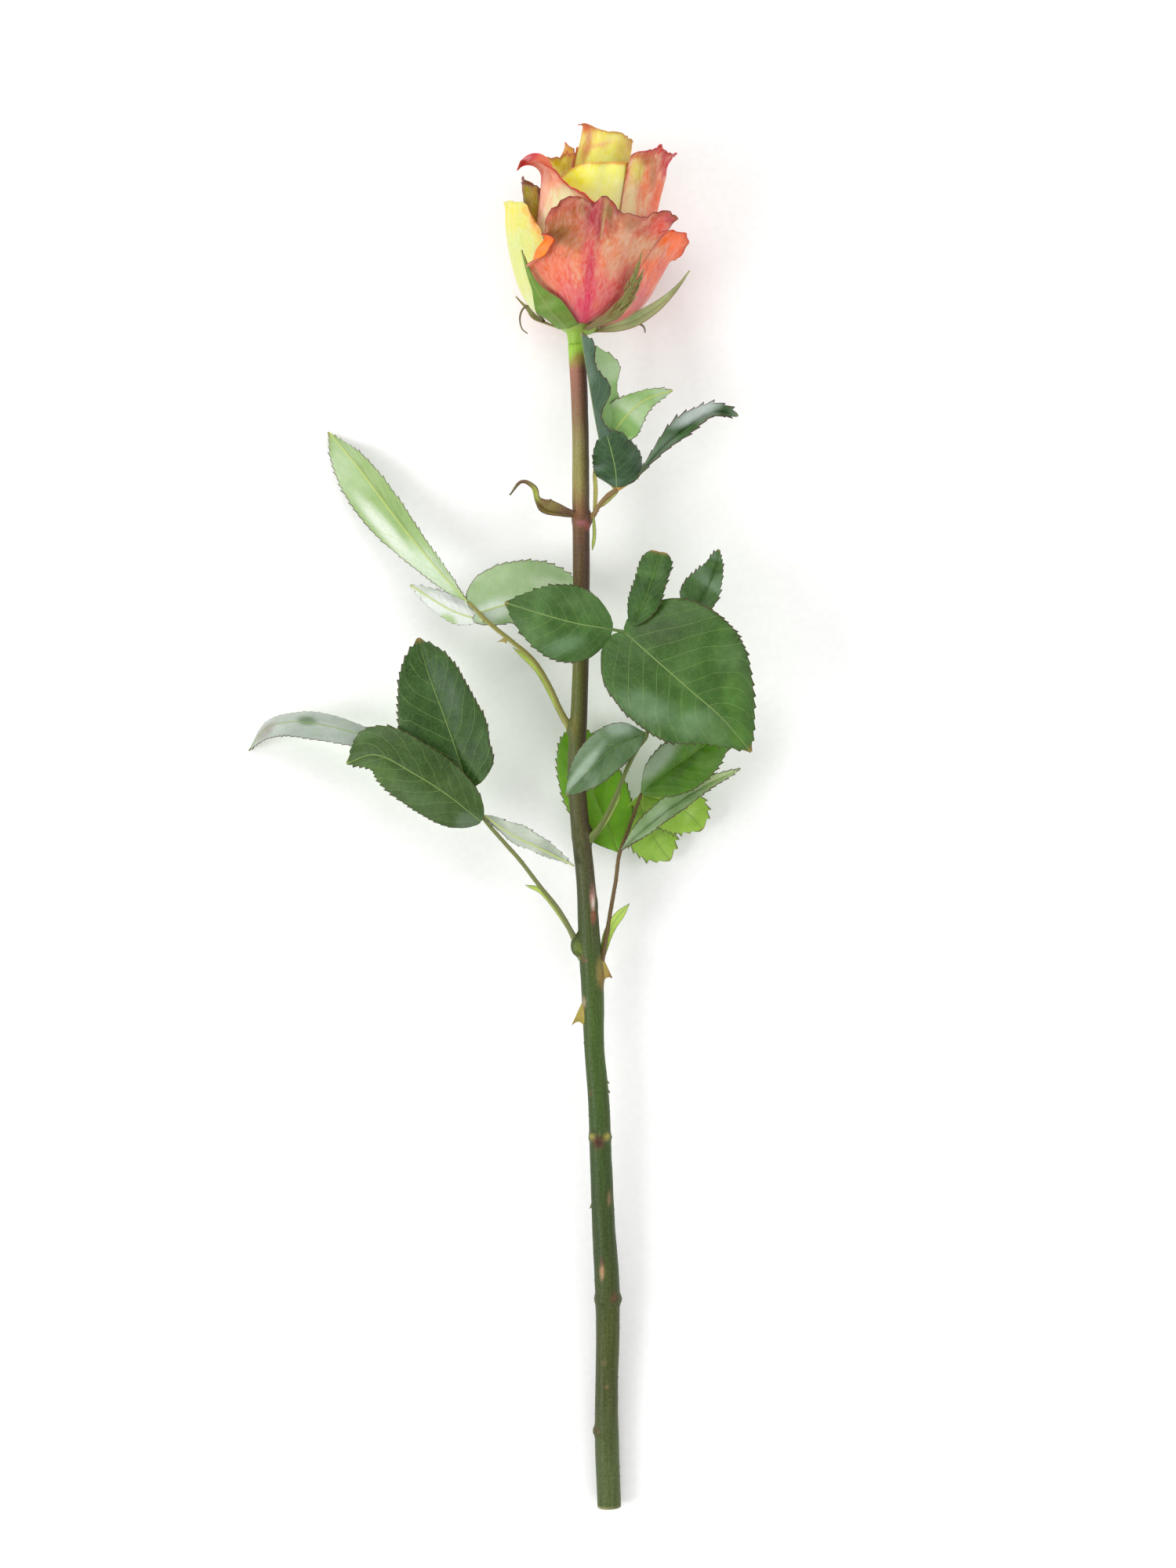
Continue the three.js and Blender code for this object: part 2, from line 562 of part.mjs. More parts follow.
// Rows of a petal, from its foot to its rim: height, distance from the axis, how far it reaches
// round the head before and after its middle, and how far those two edges stand out.
const outerPetals = {
  petal_front: {
    finish: 'coral', turn: 8,
    rows: [
      [0, 6.5, 20, 20, 0, 0], [3.5, 14, 40, 36, 0.6, 0.9], [10, 20, 53, 39, 1, 1.2],
      [17.5, 23.6, 50, 39, 2, 1.2], [24, 25.2, 38, 45, 1, 1.4], [30, 26.2, 37, 53, 0.6, 1.6],
      [35, 27.2, 32, 60, 0.4, 1.6],
    ],
    rim: [-2.4, 0.6, 1, -0.6, 1.6, -0.8, -2, 0.8, 0.4], flare: [0, 0, 0, 0, 0, 0, 0.5, 1.5, 2.4],
    ruffle: [0.5, 4], columns: 12, steps: 8,
  },
  petal_right: {
    finish: 'orange', turn: 80,
    rows: [
      [0, 6.5, 20, 20, 0, 0], [3.5, 15, 36, 36, -2, 0.8], [10, 20.8, 40, 42, -2, 0.8],
      [17, 24.2, 41, 42, -2.6, 0.8], [24, 27.6, 38, 38, -5, 0.6], [30, 31, 29, 32, -6, 0],
    ],
    rim: [-3, 0.4, 1.2, 1.2, 0, -3], ruffle: [0.3, 4],
  },
  petal_rear_right: {
    finish: 'coral', turn: 142,
    rows: [
      [0, 6.5, 20, 20, 0, 0], [3.5, 14.6, 34, 36, -1.8, 0.6], [10, 19.6, 40, 44, -1.8, 0.7],
      [19, 23, 40, 44, -1.8, 0.8], [28, 25, 36, 42, -2.2, 0.8], [35, 26, 30, 38, -2.2, 0.8],
    ],
    rim: [-3, 0, 1, 0, 1, -2],
  },
  petal_rear_left: {
    finish: 'coral', turn: 202,
    rows: [
      [0, 6.5, 20, 20, 0, 0], [3.5, 14.5, 32, 34, -2.5, 0.8], [10, 19.6, 42, 42, -2.2, 0.8],
      [19, 23.2, 44, 42, -2, 0.8], [28, 25.2, 42, 40, -2.2, 0.9], [36, 26.4, 34, 34, -2.2, 0.9],
    ],
    rim: [-2, 1, 0, 1, 0, -3],
  },
  petal_left: {
    finish: 'yellow', turn: 272,
    rows: [
      [0, 6.5, 20, 20, 0, 0], [3.5, 15, 34, 38, -1.4, -1.4], [10, 20.2, 44, 48, -1.4, -1.8],
      [20, 24.2, 44, 53, -1.8, -2.6], [29, 26.4, 40, 50, -2.4, -3.4], [36.5, 27.4, 32, 44, -2.6, -3.4],
    ],
    rim: [-3, -1, 0, 0.3, -1.4, -4.6, -8], ruffle: [0.3, 4],
  },
};

const middlePetals = {
  petal_curled: {
    finish: 'cream', turn: -30,
    rows: [
      [0, 4.6, 18, 18, 0, 0], [4, 11, 24, 32, 0.4, 0.4], [12, 16.6, 24, 46, 0.6, 0.6],
      [24, 19.6, 22, 50, 0.6, 0.6], [36, 20.2, 21, 50, 0.4, 0.6], [45, 20.2, 21, 48, 0.2, 0.6],
    ],
    rim: [0.6, 5, 4.4, -0.8, -4.6, -8, -12], flare: [12, 8.5, 3.6, 1.4, 0.8, 0.6, 0], columns: 11,
  },
  petal_striped: {
    finish: 'coral', turn: 58,
    rows: [
      [0, 4.6, 18, 18, 0, 0], [4.4, 11.4, 30, 30, -1.2, 0.8], [14, 17, 30, 42, -1.2, 0.8],
      [27, 19.8, 28, 46, -1.2, 0.8], [41, 21, 27, 44, -1.6, 0.8], [54, 22.4, 26, 34, -1.6, 0.8],
    ],
    rim: [-1, 0.5, 1.5, 3.4, 2.6, 2.4, 0], flare: [0, 0.5, 1, 2, 2.4],
  },
  petal_inner_right: {
    finish: 'cream', turn: 120,
    rows: [
      [0, 4.6, 18, 18, 0, 0], [4, 11, 30, 32, -1.2, 0.7], [12, 16, 38, 40, -1.2, 0.7],
      [24, 19, 40, 42, -1.2, 0.7], [36, 20, 38, 40, -1.2, 0.7], [47, 20.4, 32, 32, -1.2, 0.7],
    ],
    rim: [-3, 0, 1, -1, -4],
  },
  petal_inner_rear: {
    finish: 'yellow', turn: 180,
    rows: [
      [0, 4.6, 18, 18, 0, 0], [4, 11, 32, 32, -1.2, 0.7], [12, 16, 40, 38, -1.2, 0.7],
      [24, 19, 42, 38, -1.2, 0.7], [35, 20, 40, 36, -1.2, 0.7], [44, 20.2, 32, 30, -1.2, 0.7],
    ],
    rim: [-3, 1, 0, 1, -4],
  },
  petal_olive: {
    finish: 'olive', turn: 254,
    rows: [
      [0, 4.6, 18, 18, 0, 0], [4, 11.2, 34, 30, -1.4, -1.2], [12, 16.6, 44, 40, -2.2, -1.2],
      [24, 19.8, 46, 46, -2.8, -1.4], [35, 21.8, 44, 50, -4, -3.2], [45, 23.6, 36, 46, -4.4, -4],
    ],
    rim: [-4, 0, -1, 1.5, -0.5], ruffle: [0.3, 4],
  },
};

const innerPetals = {
  petal_yellow_front: {
    finish: 'yellow', turn: 10,
    rows: [
      [0, 3, 16, 16, 0, 0], [4, 7.6, 36, 36, 0.6, 0.6], [12, 12.2, 56, 54, 0.8, 0.8],
      [24, 14.8, 60, 56, 0.8, 0.8], [37, 15.8, 54, 50, 0.8, 0.8], [48, 16.6, 44, 42, 0.6, 0.8],
    ],
    rim: [-4, -0.5, 1, 1.2, 1, 0.4, -2.6],
  },
  petal_yellow_left: {
    finish: 'yellow', turn: 268,
    rows: [
      [0, 3, 16, 16, 0, 0], [4, 7.6, 36, 36, 0.6, -0.9], [12, 12, 54, 50, 0.8, -0.9],
      [24, 14, 56, 50, 0.8, -0.9], [38, 14.8, 52, 46, 0.8, -0.9], [50, 15.4, 44, 40, 0.6, -0.9],
    ],
    rim: [0, 2, 3.4, -0.6, 4, 2.4, 0.6], flare: [1, 0, 1.5, 0, 0.5],
  },
  petal_yellow_rear: {
    finish: 'yellow', turn: 150,
    rows: [
      [0, 3, 16, 16, 0, 0], [4, 7.6, 36, 36, -0.9, -0.6], [12, 12, 60, 56, -1, -0.8],
      [24, 14, 64, 58, -1, -0.8], [38, 14.8, 58, 56, -1, -0.8], [51, 15, 50, 50, -1, -0.8],
    ],
    rim: [-1, 2, 0, 2, -2],
  },
};

// The petals rolled up in the middle, grown together at their feet with the core.
const heartPetals = [
  {
    turn: 10, ruffle: [0.2, 3],
    rows: [
      [0, 1.8, 40, 40, 0, 0], [10, 6.4, 70, 60, 0, 0.4], [24, 9, 75, 72, -0.4, 0.8],
      [42, 10.1, 54, 84, -0.4, 0.8], [60, 10.4, 35, 84, 0, 0.8],
    ],
    rim: [0.4, 1.4, 1, 0.9, 1, 0.9, 0.2], flare: [2.4, 0.6, 0, 0, 0, 0],
  },
  {
    turn: 165,
    rows: [
      [0, 1.8, 40, 40, 0, 0], [10, 5.6, 70, 70, -0.6, 0.4], [24, 8.2, 78, 76, -0.6, 0.4],
      [42, 8.9, 78, 74, -0.6, 0.4], [58, 8.8, 66, 64, -0.6, 0.4],
    ],
    rim: [0, 1.5, 0, 1.4, 0],
  },
  {
    turn: 272,
    rows: [
      [0, 1.8, 40, 40, 0, 0], [10, 6, 54, 50, 0.6, -0.4], [24, 8.6, 60, 50, 0.6, -0.6],
      [40, 9.8, 58, 46, 0.6, -0.6], [55, 10.6, 50, 40, 0.6, -0.6],
    ],
    rim: [0, 2, -2, 2, 0],
  },
  {
    turn: 60, ruffle: [0.2, 3], columns: 10, steps: 3,
    rows: [[24, 5.6, 90, 90, -0.9, 0.9], [40, 6.6, 100, 100, -0.9, 0.9], [57, 6.2, 90, 96, -0.9, 0.9]],
    rim: [0, 1.2, 0, 0.8, 0],
  },
  {
    turn: 240, ruffle: [0.2, 3], columns: 10, steps: 3,
    rows: [[24, 3.6, 90, 90, -0.7, 0.7], [40, 4.3, 100, 100, -0.7, 0.7], [56, 4, 90, 96, -0.7, 0.7]],
    rim: [0, 1.2, 0, 0.8, 0],
  },
];

// A round body about the axis of the head, from its outline of distance and height.
function turned(outline, sides) {
  const shape = new THREE.LatheGeometry(outline.map(([out, up]) => new THREE.Vector2(out, up)), sides);
  const basis = new THREE.Matrix4().makeBasis(headSide, headAxis, headFront.clone().negate());
  shape.applyMatrix4(basis.setPosition(headBase));
  return solid(shape);
}

function buildHeart() {
  const core = turned([[0, 0], [2.4, 0], [4.6, 8], [5.8, 22], [5, 34], [3.4, 46], [0, 50]], 12);
  return fuse([core, ...heartPetals.map((petal) => petalWallOf({ columns: 8, steps: 5, ...petal }))]);
}

// The calyx: the cup under the petals and its five sepals, from turn, height and distance.
// The fourth number turns the sepal's inner side from the petals towards the front.
const sepals = [
  {
    at: [[-24, -2, 5, 0], [-28, 1.3, 16.6, 0], [-35, 8, 23.2, 0], [-40, 14.5, 27.2, 0], [-45, 20, 28.6, 0]],
    half: 4.8, tooth: 0,
  },
  {
    at: [[46, -1.8, 5, 0], [48, 1.6, 16.2, 0], [46, 8, 23, 0], [42, 14, 26.6, 0], [38, 21, 28.8, 0]],
    half: 2.2, tooth: 2.2,
  },
  {
    at: [[90, -2, 5, 0], [87, 1, 16.4, 0], [86, 7.4, 25, 40], [88, 14.2, 30.2, 50], [90, 21.2, 34, 50]],
    half: 2.5, tooth: 0,
  },
  {
    at: [[-126, -1.8, 5, 0], [-125, 1.4, 16.4, 0], [-120, 5.6, 21.4, 0], [-112, 8.6, 24, 0]],
    half: 3, tooth: 0.8,
  },
  {
    at: [[172, -1.8, 5, 0], [172, 1.6, 16.4, 0], [171, 8.2, 22.2, 0], [170, 14, 25.2, 0], [170, 19, 26.4, 0]],
    half: 4.4, tooth: 0,
  },
];
const calyxCurl = [
  [-124, 1, 13.6], [-110, 0.8, 16.6], [-101, 0.4, 18.4], [-97, -1.4, 18.7], [-97, -3.4, 17.8],
  [-98, -5, 16.2],
];

function buildCalyx() {
  const cup = turned([[0, -7.2], [3, -7.2], [3.4, -4.6], [4.4, -2.8], [6.4, -1.8], [6.6, -1.1], [0, -1.1]], 12);
  const blades = sepals.map(({ at, half, tooth }) => {
    const rib = at.map(([turn, height, out]) => headPoint(turn, height, out).toArray());
    const inner = at.map(([turn, , , open]) => {
      const face = headPoint(turn, 0, 0).sub(headPoint(turn, 0, 1)).multiplyScalar(Math.cos(open * radian));
      return face.addScaledVector(headFront, Math.sin(open * radian)).toArray();
    });
    return leaflet({
      rib, face: inner, outline: 'sepal', left: half, right: half, fold: 4, curl: 8,
      rows: 8, columns: narrow, tooth, wall: sepalWall,
    });
  });
  const curl = calyxCurl.map(([turn, height, out]) => headPoint(turn, height, out).toArray());
  return fuse([cup, ...blades, stalk(curl, [0.6, 0.6, 0.5, 0.45, 0.4, 0.35])]);
}

// The whole flower.

const rose = new THREE.Group();
rose.position.set(...middle);

const room = stemRoom();
rose.add(meshOf('stem', buildStem(), 'stem'));
rose.add(meshOf('leaf_upper', upperLeaf().subtract(room), 'leaf'));
rose.add(meshOf('leaf_bract', bractLeaf().subtract(room), 'bract'));
rose.add(meshOf('leaf_upper_left', upperLeftLeaf().subtract(room), 'leaf'));
rose.add(meshOf('leaf_front_right', frontRightLeaf().subtract(room), 'leaf'));
rose.add(meshOf('leaf_rear_right', rearRightLeaf().subtract(room), 'leaf'));
rose.add(meshOf('leaf_lower_left', lowerLeftLeaf().subtract(room), 'leaf'));
rose.add(meshOf('calyx', buildCalyx(), 'sepal'));
for (const [whorl, columns, steps] of [[outerPetals, 9, 7], [middlePetals, 9, 7], [innerPetals, 9, 6]]) {
  for (const [name, petal] of Object.entries(whorl)) {
    rose.add(meshOf(name, petalWallOf({ columns, steps, ...petal }), petal.finish));
  }
}
rose.add(meshOf('bloom_heart', buildHeart(), 'yellow'));

export default rose;
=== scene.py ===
"""The looks of one cut rose that lies on its side on a pale table, seen from straight above.

Sizes in the classes are in millimetres, measured from a point on the table under the middle of the stem,
with +Z up and the bloom at +Y. A finished mesh is in metres, moved so that the origin is under the middle of
the flower.
"""

import logging
import math
from collections.abc import Sequence
from dataclasses import dataclass, field
from enum import Enum

import bpy
import numpy as np
from bpy.types import Material, Mesh, Node, NodeTree, Object
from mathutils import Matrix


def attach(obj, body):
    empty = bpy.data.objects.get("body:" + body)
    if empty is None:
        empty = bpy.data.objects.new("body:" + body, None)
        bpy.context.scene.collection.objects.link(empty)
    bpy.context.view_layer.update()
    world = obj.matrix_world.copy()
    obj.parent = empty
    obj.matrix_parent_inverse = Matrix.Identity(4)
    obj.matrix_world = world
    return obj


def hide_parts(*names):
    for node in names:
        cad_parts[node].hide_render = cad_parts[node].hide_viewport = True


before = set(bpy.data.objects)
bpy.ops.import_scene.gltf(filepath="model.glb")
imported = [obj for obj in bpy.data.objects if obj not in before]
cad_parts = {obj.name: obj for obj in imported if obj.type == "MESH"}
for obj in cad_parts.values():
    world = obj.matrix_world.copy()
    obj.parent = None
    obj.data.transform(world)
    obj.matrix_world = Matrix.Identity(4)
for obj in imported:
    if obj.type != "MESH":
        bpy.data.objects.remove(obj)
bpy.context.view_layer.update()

Array = np.ndarray
Numbers = Sequence[float]
Rows = Sequence[Numbers]
# Place across and up, half width and half height, colour, strength and, where it has one, a lean in degrees.
Patch = tuple[float | str, ...]

MIDDLE = np.array([28.2, 14.8, 0.0])
METRE = 0.001
UP = np.array([0.0, 0.0, 1.0])
# The random fields repeat after this many lumps.
CELLS = 64
# The head is drawn about its own axis, from the top of the cup.
HEAD_BASE = np.array([-3.2, 148.4, 26.8])
HEAD_AXIS = np.array([0.105, 0.994, 0.01]) / np.linalg.norm([0.105, 0.994, 0.01])
HEAD_SIDE = np.cross(HEAD_AXIS, UP) / np.linalg.norm(np.cross(HEAD_AXIS, UP))
HEAD_FRONT = np.cross(HEAD_SIDE, HEAD_AXIS)

# The place of the stalks' finish in a mesh's materials, after those of the two sides.
STALK_FINISH = 2

log = logging.getLogger("rose")


class Side(Enum):
    """The two sides of a petal or a leaf, and the place of each in a mesh's materials."""

    OUTER = 0
    INNER = 1


# Colours, curves and random fields.


def colour(code: str) -> Array:
    """Turn an sRGB colour into linear light.

    Args:
        code: The colour as a hex value, such as "#e8705f".

    Returns:
        Red, green and blue from 0 to 1.
    """
    parts = np.array([int(code[n:n + 2], 16) for n in (1, 3, 5)]) / 255
    return np.where(parts <= 0.04045, parts / 12.92, ((parts + 0.055) / 1.055) ** 2.4)


def through(rows: Rows, t: Array) -> Array:
    """Follow a smooth curve through rows of numbers.

    Args:
        rows: The rows that the curve passes through, spaced evenly.
        t: How far along, from 0 at the first row to 1 at the last.

    Returns:
        One row for each value of t.
    """
    table = np.asarray(rows, float)
    last = len(table) - 1
    place = np.clip(t, 0, 1) * last
    first = np.minimum(place.astype(int), last - 1)
    w = (place - first)[..., None]
    # One more row at each end carries the curve straight on.
    table = np.concatenate([2 * table[:1] - table[1:2], table, 2 * table[-1:] - table[-2:-1]])
    before, start, end, after = (table[first + n] for n in range(4))
    leave = (end - before) / 2
    arrive = (after - start) / 2
    bend = 3 * (end - start) - 2 * leave - arrive
    twist = 2 * (start - end) + leave + arrive
    return start + w * (leave + w * (bend + w * twist))


def profile(values: Numbers, t: Array) -> Array:
    """Follow a smooth curve through single numbers, spaced evenly."""
    return through([[value] for value in values], t)[..., 0]


def blend(codes: str, t: Array) -> Array:
    """Run smoothly through evenly spaced colours, written with spaces between, as linear light."""
    return np.clip(through([colour(code) for code in codes.split()], t), 0, 1)


def unit(vectors: Array) -> Array:
    """Give vectors a length of 1."""
    return vectors / np.maximum(np.linalg.norm(vectors, axis=-1, keepdims=True), 1e-12)


def cloud(x: Array, y: Array, seed: int, size: float) -> Array:
    """Make a smooth random field over a plane.

    Args:
        x: First coordinate in millimetres.
        y: Second coordinate in millimetres.
        seed: The number that fixes the field.
        size: How large its lumps are, in millimetres.

    Returns:
        Values from -1 to 1.
    """
    draw = np.random.default_rng(seed).uniform(-1, 1, (CELLS, CELLS))
    x, y = np.broadcast_arrays(x / size, y / size)
    column = np.floor(x).astype(int)
    row = np.floor(y).astype(int)
    u = x - column
    v = y - row
    u = u * u * (3 - 2 * u)
    v = v * v * (3 - 2 * v)
    left = column % CELLS
    right = (column + 1) % CELLS
    lines = (row % CELLS, (row + 1) % CELLS)
    near, far = (draw[left, line] * (1 - u) + draw[right, line] * u for line in lines)
    return near * (1 - v) + far * v


def towards(tint: Array, code: str, weight: Array) -> Array:
    """Move a tint towards a colour by a weight from 0 to 1."""
    return tint + np.clip(weight, 0, 1)[..., None] * (colour(code) - tint)


def bell(values: Array) -> Array:
    """Fall off softly, from 1 where the value is 0 to nearly nothing where it is 2."""
    return np.exp(-values ** 2)


def paired(first: Array, second: Array) -> Array:
    """Join two fields as the two numbers of a map."""
    return np.stack(np.broadcast_arrays(first, second), axis=-1)


def spread(patch: Patch, x: Array, y: Array) -> Array:
    """Measure how far places are from the middle of a patch.

    Args:
        patch: The patch.
        x: How far each place is across.
        y: How far each place is up.

    Returns:
        The square of the distance, which is 1 on the patch's border.
    """
    across, along, wide, tall, _, _, *lean = patch
    turn = math.radians(lean[0] if lean else 0)
    u = (x - across) * math.cos(turn) + (y - along) * math.sin(turn)
    v = (y - along) * math.cos(turn) - (x - across) * math.sin(turn)
    return (u / wide) ** 2 + (v / tall) ** 2


def patched(tint: Array, x: Array, y: Array, patches: Sequence[Patch], share: Array | float = 1.0) -> Array:
    """Lay soft patches of colour over a skin.

    Args:
        tint: The colours so far.
        x: How far each place is to the right.
        y: How far each place is up the stem.
        patches: The patches, placed in the same way.
        share: How much of each patch is taken at each place.

    Returns:
        The new colours.
    """
    for patch in patches:
        tint = towards(tint, patch[4], patch[5] * bell(spread(patch, x, y)) * share)
    return tint


# Meshes.


@dataclass
class Skin:
    """A growing mesh: its places, its faces and what is painted on them.

    The map Flat gives millimetres over the surface, across and along. The map Vein gives the count of side
    veins passed and the share of the way from the middle to the margin.
    """

    places: list[Array] = field(default_factory=list)
    faces: list[Array] = field(default_factory=list)
    finishes: list[Array] = field(default_factory=list)
    tints: list[Array] = field(default_factory=list)
    flats: list[Array] = field(default_factory=list)
    veins: list[Array] = field(default_factory=list)
    count: int = 0

    def add(self, places: Array, faces: list[Array], finishes: list[Array],
            tint: Array, flat: Array, vein: Array) -> None:
        """Add one closed body, turned so that its faces point outwards.

        Args:
            places: One row of millimetres for each corner.
            faces: Arrays of corner numbers, three or four to a face.
            finishes: For each of those arrays, the material number of each face.
            tint: The colour of each corner.
            flat: The Flat map of each corner.
            vein: The Vein map of each corner.
        """
        volume = 0.0
        centred = places - places.mean(axis=0)
        for group in faces:
            for n in range(1, group.shape[1] - 1):
                a, b, c = centred[group[:, 0]], centred[group[:, n]], centred[group[:, n + 1]]
                volume += float(np.einsum("ij,ij->", a, np.cross(b, c)))
        for group, finish in zip(faces, finishes):
            self.faces.append((group if volume > 0 else group[:, ::-1]) + self.count)
            self.finishes.append(finish)
        self.places.append(places)
        self.tints.append(tint)
        self.flats.append(flat)
        self.veins.append(vein)
        self.count += len(places)

    def add_sheet(self, middle: Array, thick: Array, facing: Array, tints: list[Array],
                  flat: Array, vein: Array, edge: Array | None = None) -> None:
        """Add a thin closed sheet with a rounded edge.

        Args:
            middle: The grid of places in the middle of the sheet, by row and column.
            thick: The thickness at each of them.
            facing: A direction at each of them that lies on the outer side.
            tints: The colours of the outer and of the inner side.
            flat: The Flat map.
            vein: The Vein map.
            edge: The colour round the edge, or None for that of the outer side.
        """
        rows, columns = middle.shape[:2]
        along = np.gradient(middle, axis=0)
        across = np.gradient(middle, axis=1)
        normal = unit(np.cross(across, along))
        if float((normal * facing).sum()) < 0:
            normal = -normal
        number = np.arange(rows * columns).reshape(rows, columns)
        loop = np.concatenate([number[0, :-1], number[:-1, -1], number[-1, :0:-1], number[:0:-1, 0]])
        inward = number[1:-1, 1:-1][
            np.clip(loop // columns - 1, 0, rows - 3), np.clip(loop % columns - 1, 0, columns - 3)]
        centre = middle.reshape(-1, 3)
        lift = (normal * thick[..., None] / 2).reshape(-1, 3)
        roundness = 0.35
        out = unit(centre[loop] - centre[inward]) * thick.reshape(-1)[loop][:, None] * roundness
        places = np.concatenate([centre + lift, centre - lift, centre[loop] + out])
        quads = np.stack([number[:-1, :-1], number[:-1, 1:], number[1:, 1:], number[1:, :-1]], axis=-1)
        front = quads.reshape(-1, 4)
        back = front[:, ::-1] + centre.shape[0]
        following = np.roll(loop, -1)
        ring = 2 * centre.shape[0] + np.arange(len(loop))
        next_ring = np.roll(ring, -1)
        upper = np.stack([following, loop, ring, next_ring], axis=-1)
        lower = np.stack([next_ring, ring, loop + centre.shape[0], following + centre.shape[0]], axis=-1)
        outer, inner = (tint.reshape(-1, 3) for tint in tints)
        border = outer[loop] if edge is None else edge.reshape(-1, 3)[loop]
        groups = [front, back, upper, lower]
        sides = [Side.OUTER, Side.INNER, Side.OUTER, Side.OUTER]
        flats, veins = (np.concatenate([grid, grid, grid[loop]]) for grid in (
            flat.reshape(-1, 2), vein.reshape(-1, 2)))
        self.add(places, groups, [np.full(len(group), side.value) for group, side in zip(groups, sides)],
                 np.concatenate([outer, inner, border]), flats, veins)

    def add_rings(self, rings: Array, tint: Array, flat: Array) -> None:
        """Add a round body given as rings of places, closed by a point at each end.

        Args:
            rings: The places, by ring and by number on the ring.
            tint: Their colours.
            flat: The Flat map.
        """
        steps, sides = rings.shape[:2]
        number = np.arange(steps * sides).reshape(steps, sides)
        following = np.roll(number, -1, axis=1)
        quads = np.stack([number[:-1], following[:-1], following[1:], number[1:]], axis=-1).reshape(-1, 4)
        start = steps * sides
        low = np.stack([np.full(sides, start), following[0], number[0]], axis=-1)
        high = np.stack([np.full(sides, start + 1), number[-1], following[-1]], axis=-1)
        ends = [0, -1]
        places = np.concatenate([rings.reshape(-1, 3), rings[ends].mean(axis=1)])
        groups = [quads, low, high]
        tints, flats = (np.concatenate([grid.reshape(-1, grid.shape[-1]), grid[ends].mean(axis=1)])
                        for grid in (tint, flat))
        self.add(places, groups, [np.full(len(group), Side.OUTER.value) for group in groups], tints, flats,
                 np.zeros((len(places), 2)))

    def join(self, stems: "Skin") -> None:
        """Append the skin of the stalks to that of the blades, in the third material.

        Args:
            stems: The skin of the stalks.
        """
        self.faces += [group + self.count for group in stems.faces]
        self.finishes += [np.full(len(group), STALK_FINISH) for group in stems.finishes]
        self.places += stems.places
        self.tints += stems.tints
        self.flats += stems.flats
        self.veins += stems.veins
        self.count += stems.count

    def mesh(self, name: str, materials: list[Material]) -> Mesh:
        """Make the Blender mesh, in metres about the flower's middle.

        Args:
            name: The mesh's name.
            materials: The materials, in the order of their numbers.

        Returns:
            The mesh.
        """
        mesh = bpy.data.meshes.new(name)
        places = (np.concatenate(self.places) + MIDDLE) * METRE
        mesh.from_pydata(places.tolist(), [], [face for group in self.faces for face in group.tolist()])
        for material in materials:
            mesh.materials.append(material)
        mesh.polygons.foreach_set("material_index", np.concatenate(self.finishes).astype(np.int32))
        corners = np.empty(len(mesh.loops), np.int32)
        mesh.loops.foreach_get("vertex_index", corners)
        for label, values in (("Flat", self.flats), ("Vein", self.veins)):
            layer = mesh.uv_layers.new(name=label)
            layer.data.foreach_set("uv", np.concatenate(values)[corners].astype(np.float32).ravel())
        tint = np.concatenate(self.tints)
        paint = mesh.color_attributes.new(name="Tint", type="FLOAT_COLOR", domain="POINT")
        layer = np.column_stack([tint, np.ones(len(tint))]).astype(np.float32)
        paint.data.foreach_set("color", layer.ravel())
        mesh.polygons.foreach_set("use_smooth", np.ones(len(mesh.polygons), bool))
        mesh.update()
        return mesh


def place_piece(name: str, mesh: Mesh, node: str) -> Object:
    """Put a finished mesh in the scene as a piece of the flower.

    Args:
        name: The piece's name.
        mesh: Its mesh.
        node: The solid that it stands for.

    Returns:
        The new object.
    """
    piece = bpy.data.objects.new(name, mesh)
    bpy.context.scene.collection.objects.link(piece)
    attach(piece, "root")
    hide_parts(node)
    mesh.calc_loop_triangles()
    log.info("%s: %d triangles, stands for %s", name, len(mesh.loop_triangles), node)
    return piece


# Finishes.


class Graph:
    """The node tree of a material or of a Geometry Nodes group, with one way to add a node."""

    def __init__(self, tree: NodeTree) -> None:
        """Start an empty tree."""
        self.tree = tree
        tree.nodes.clear()

    def add(self, kind: str, *given: object, **settings: object) -> Node:
        """Add a node.

        Args:
            kind: The node's type name, without its ShaderNode if that is how it starts.
            given: What its inputs get, in order: a value, a socket, or a node for that node's first output.
                A dict gives inputs by name or number.
            settings: The node's own settings.

        Returns:
            The new node.
        """
        other = kind.startswith(("Geometry", "Function", "NodeGroup"))
        node = self.tree.nodes.new(kind if other else "ShaderNode" + kind)
        for name, value in settings.items():
            setattr(node, name, value)
        for number, item in enumerate(given):
            for name, value in (item if isinstance(item, dict) else {number: item}).items():
                if isinstance(value, Node):
                    value = value.outputs[0]
                if isinstance(value, bpy.types.NodeSocket):
                    self.tree.links.new(value, node.inputs[name])
                else:
                    node.inputs[name].default_value = value
        return node


def paint_of(code: str) -> tuple[float, float, float, float]:
    """Turn an sRGB hex value into the value of a colour socket."""
    return (*colour(code), 1.0)


def new_graph(name: str) -> tuple[Material, Graph, Node, Node]:
    """Start a material.

    Args:
        name: The material's name.

    Returns:
        The material, its tree, and in that the painted tint and the Flat map.
    """
    material = bpy.data.materials.new(name)
    material.use_nodes = True
    graph = Graph(material.node_tree)
    return material, graph, graph.add("Attribute", attribute_name="Tint"), graph.add("UVMap", uv_map="Flat")


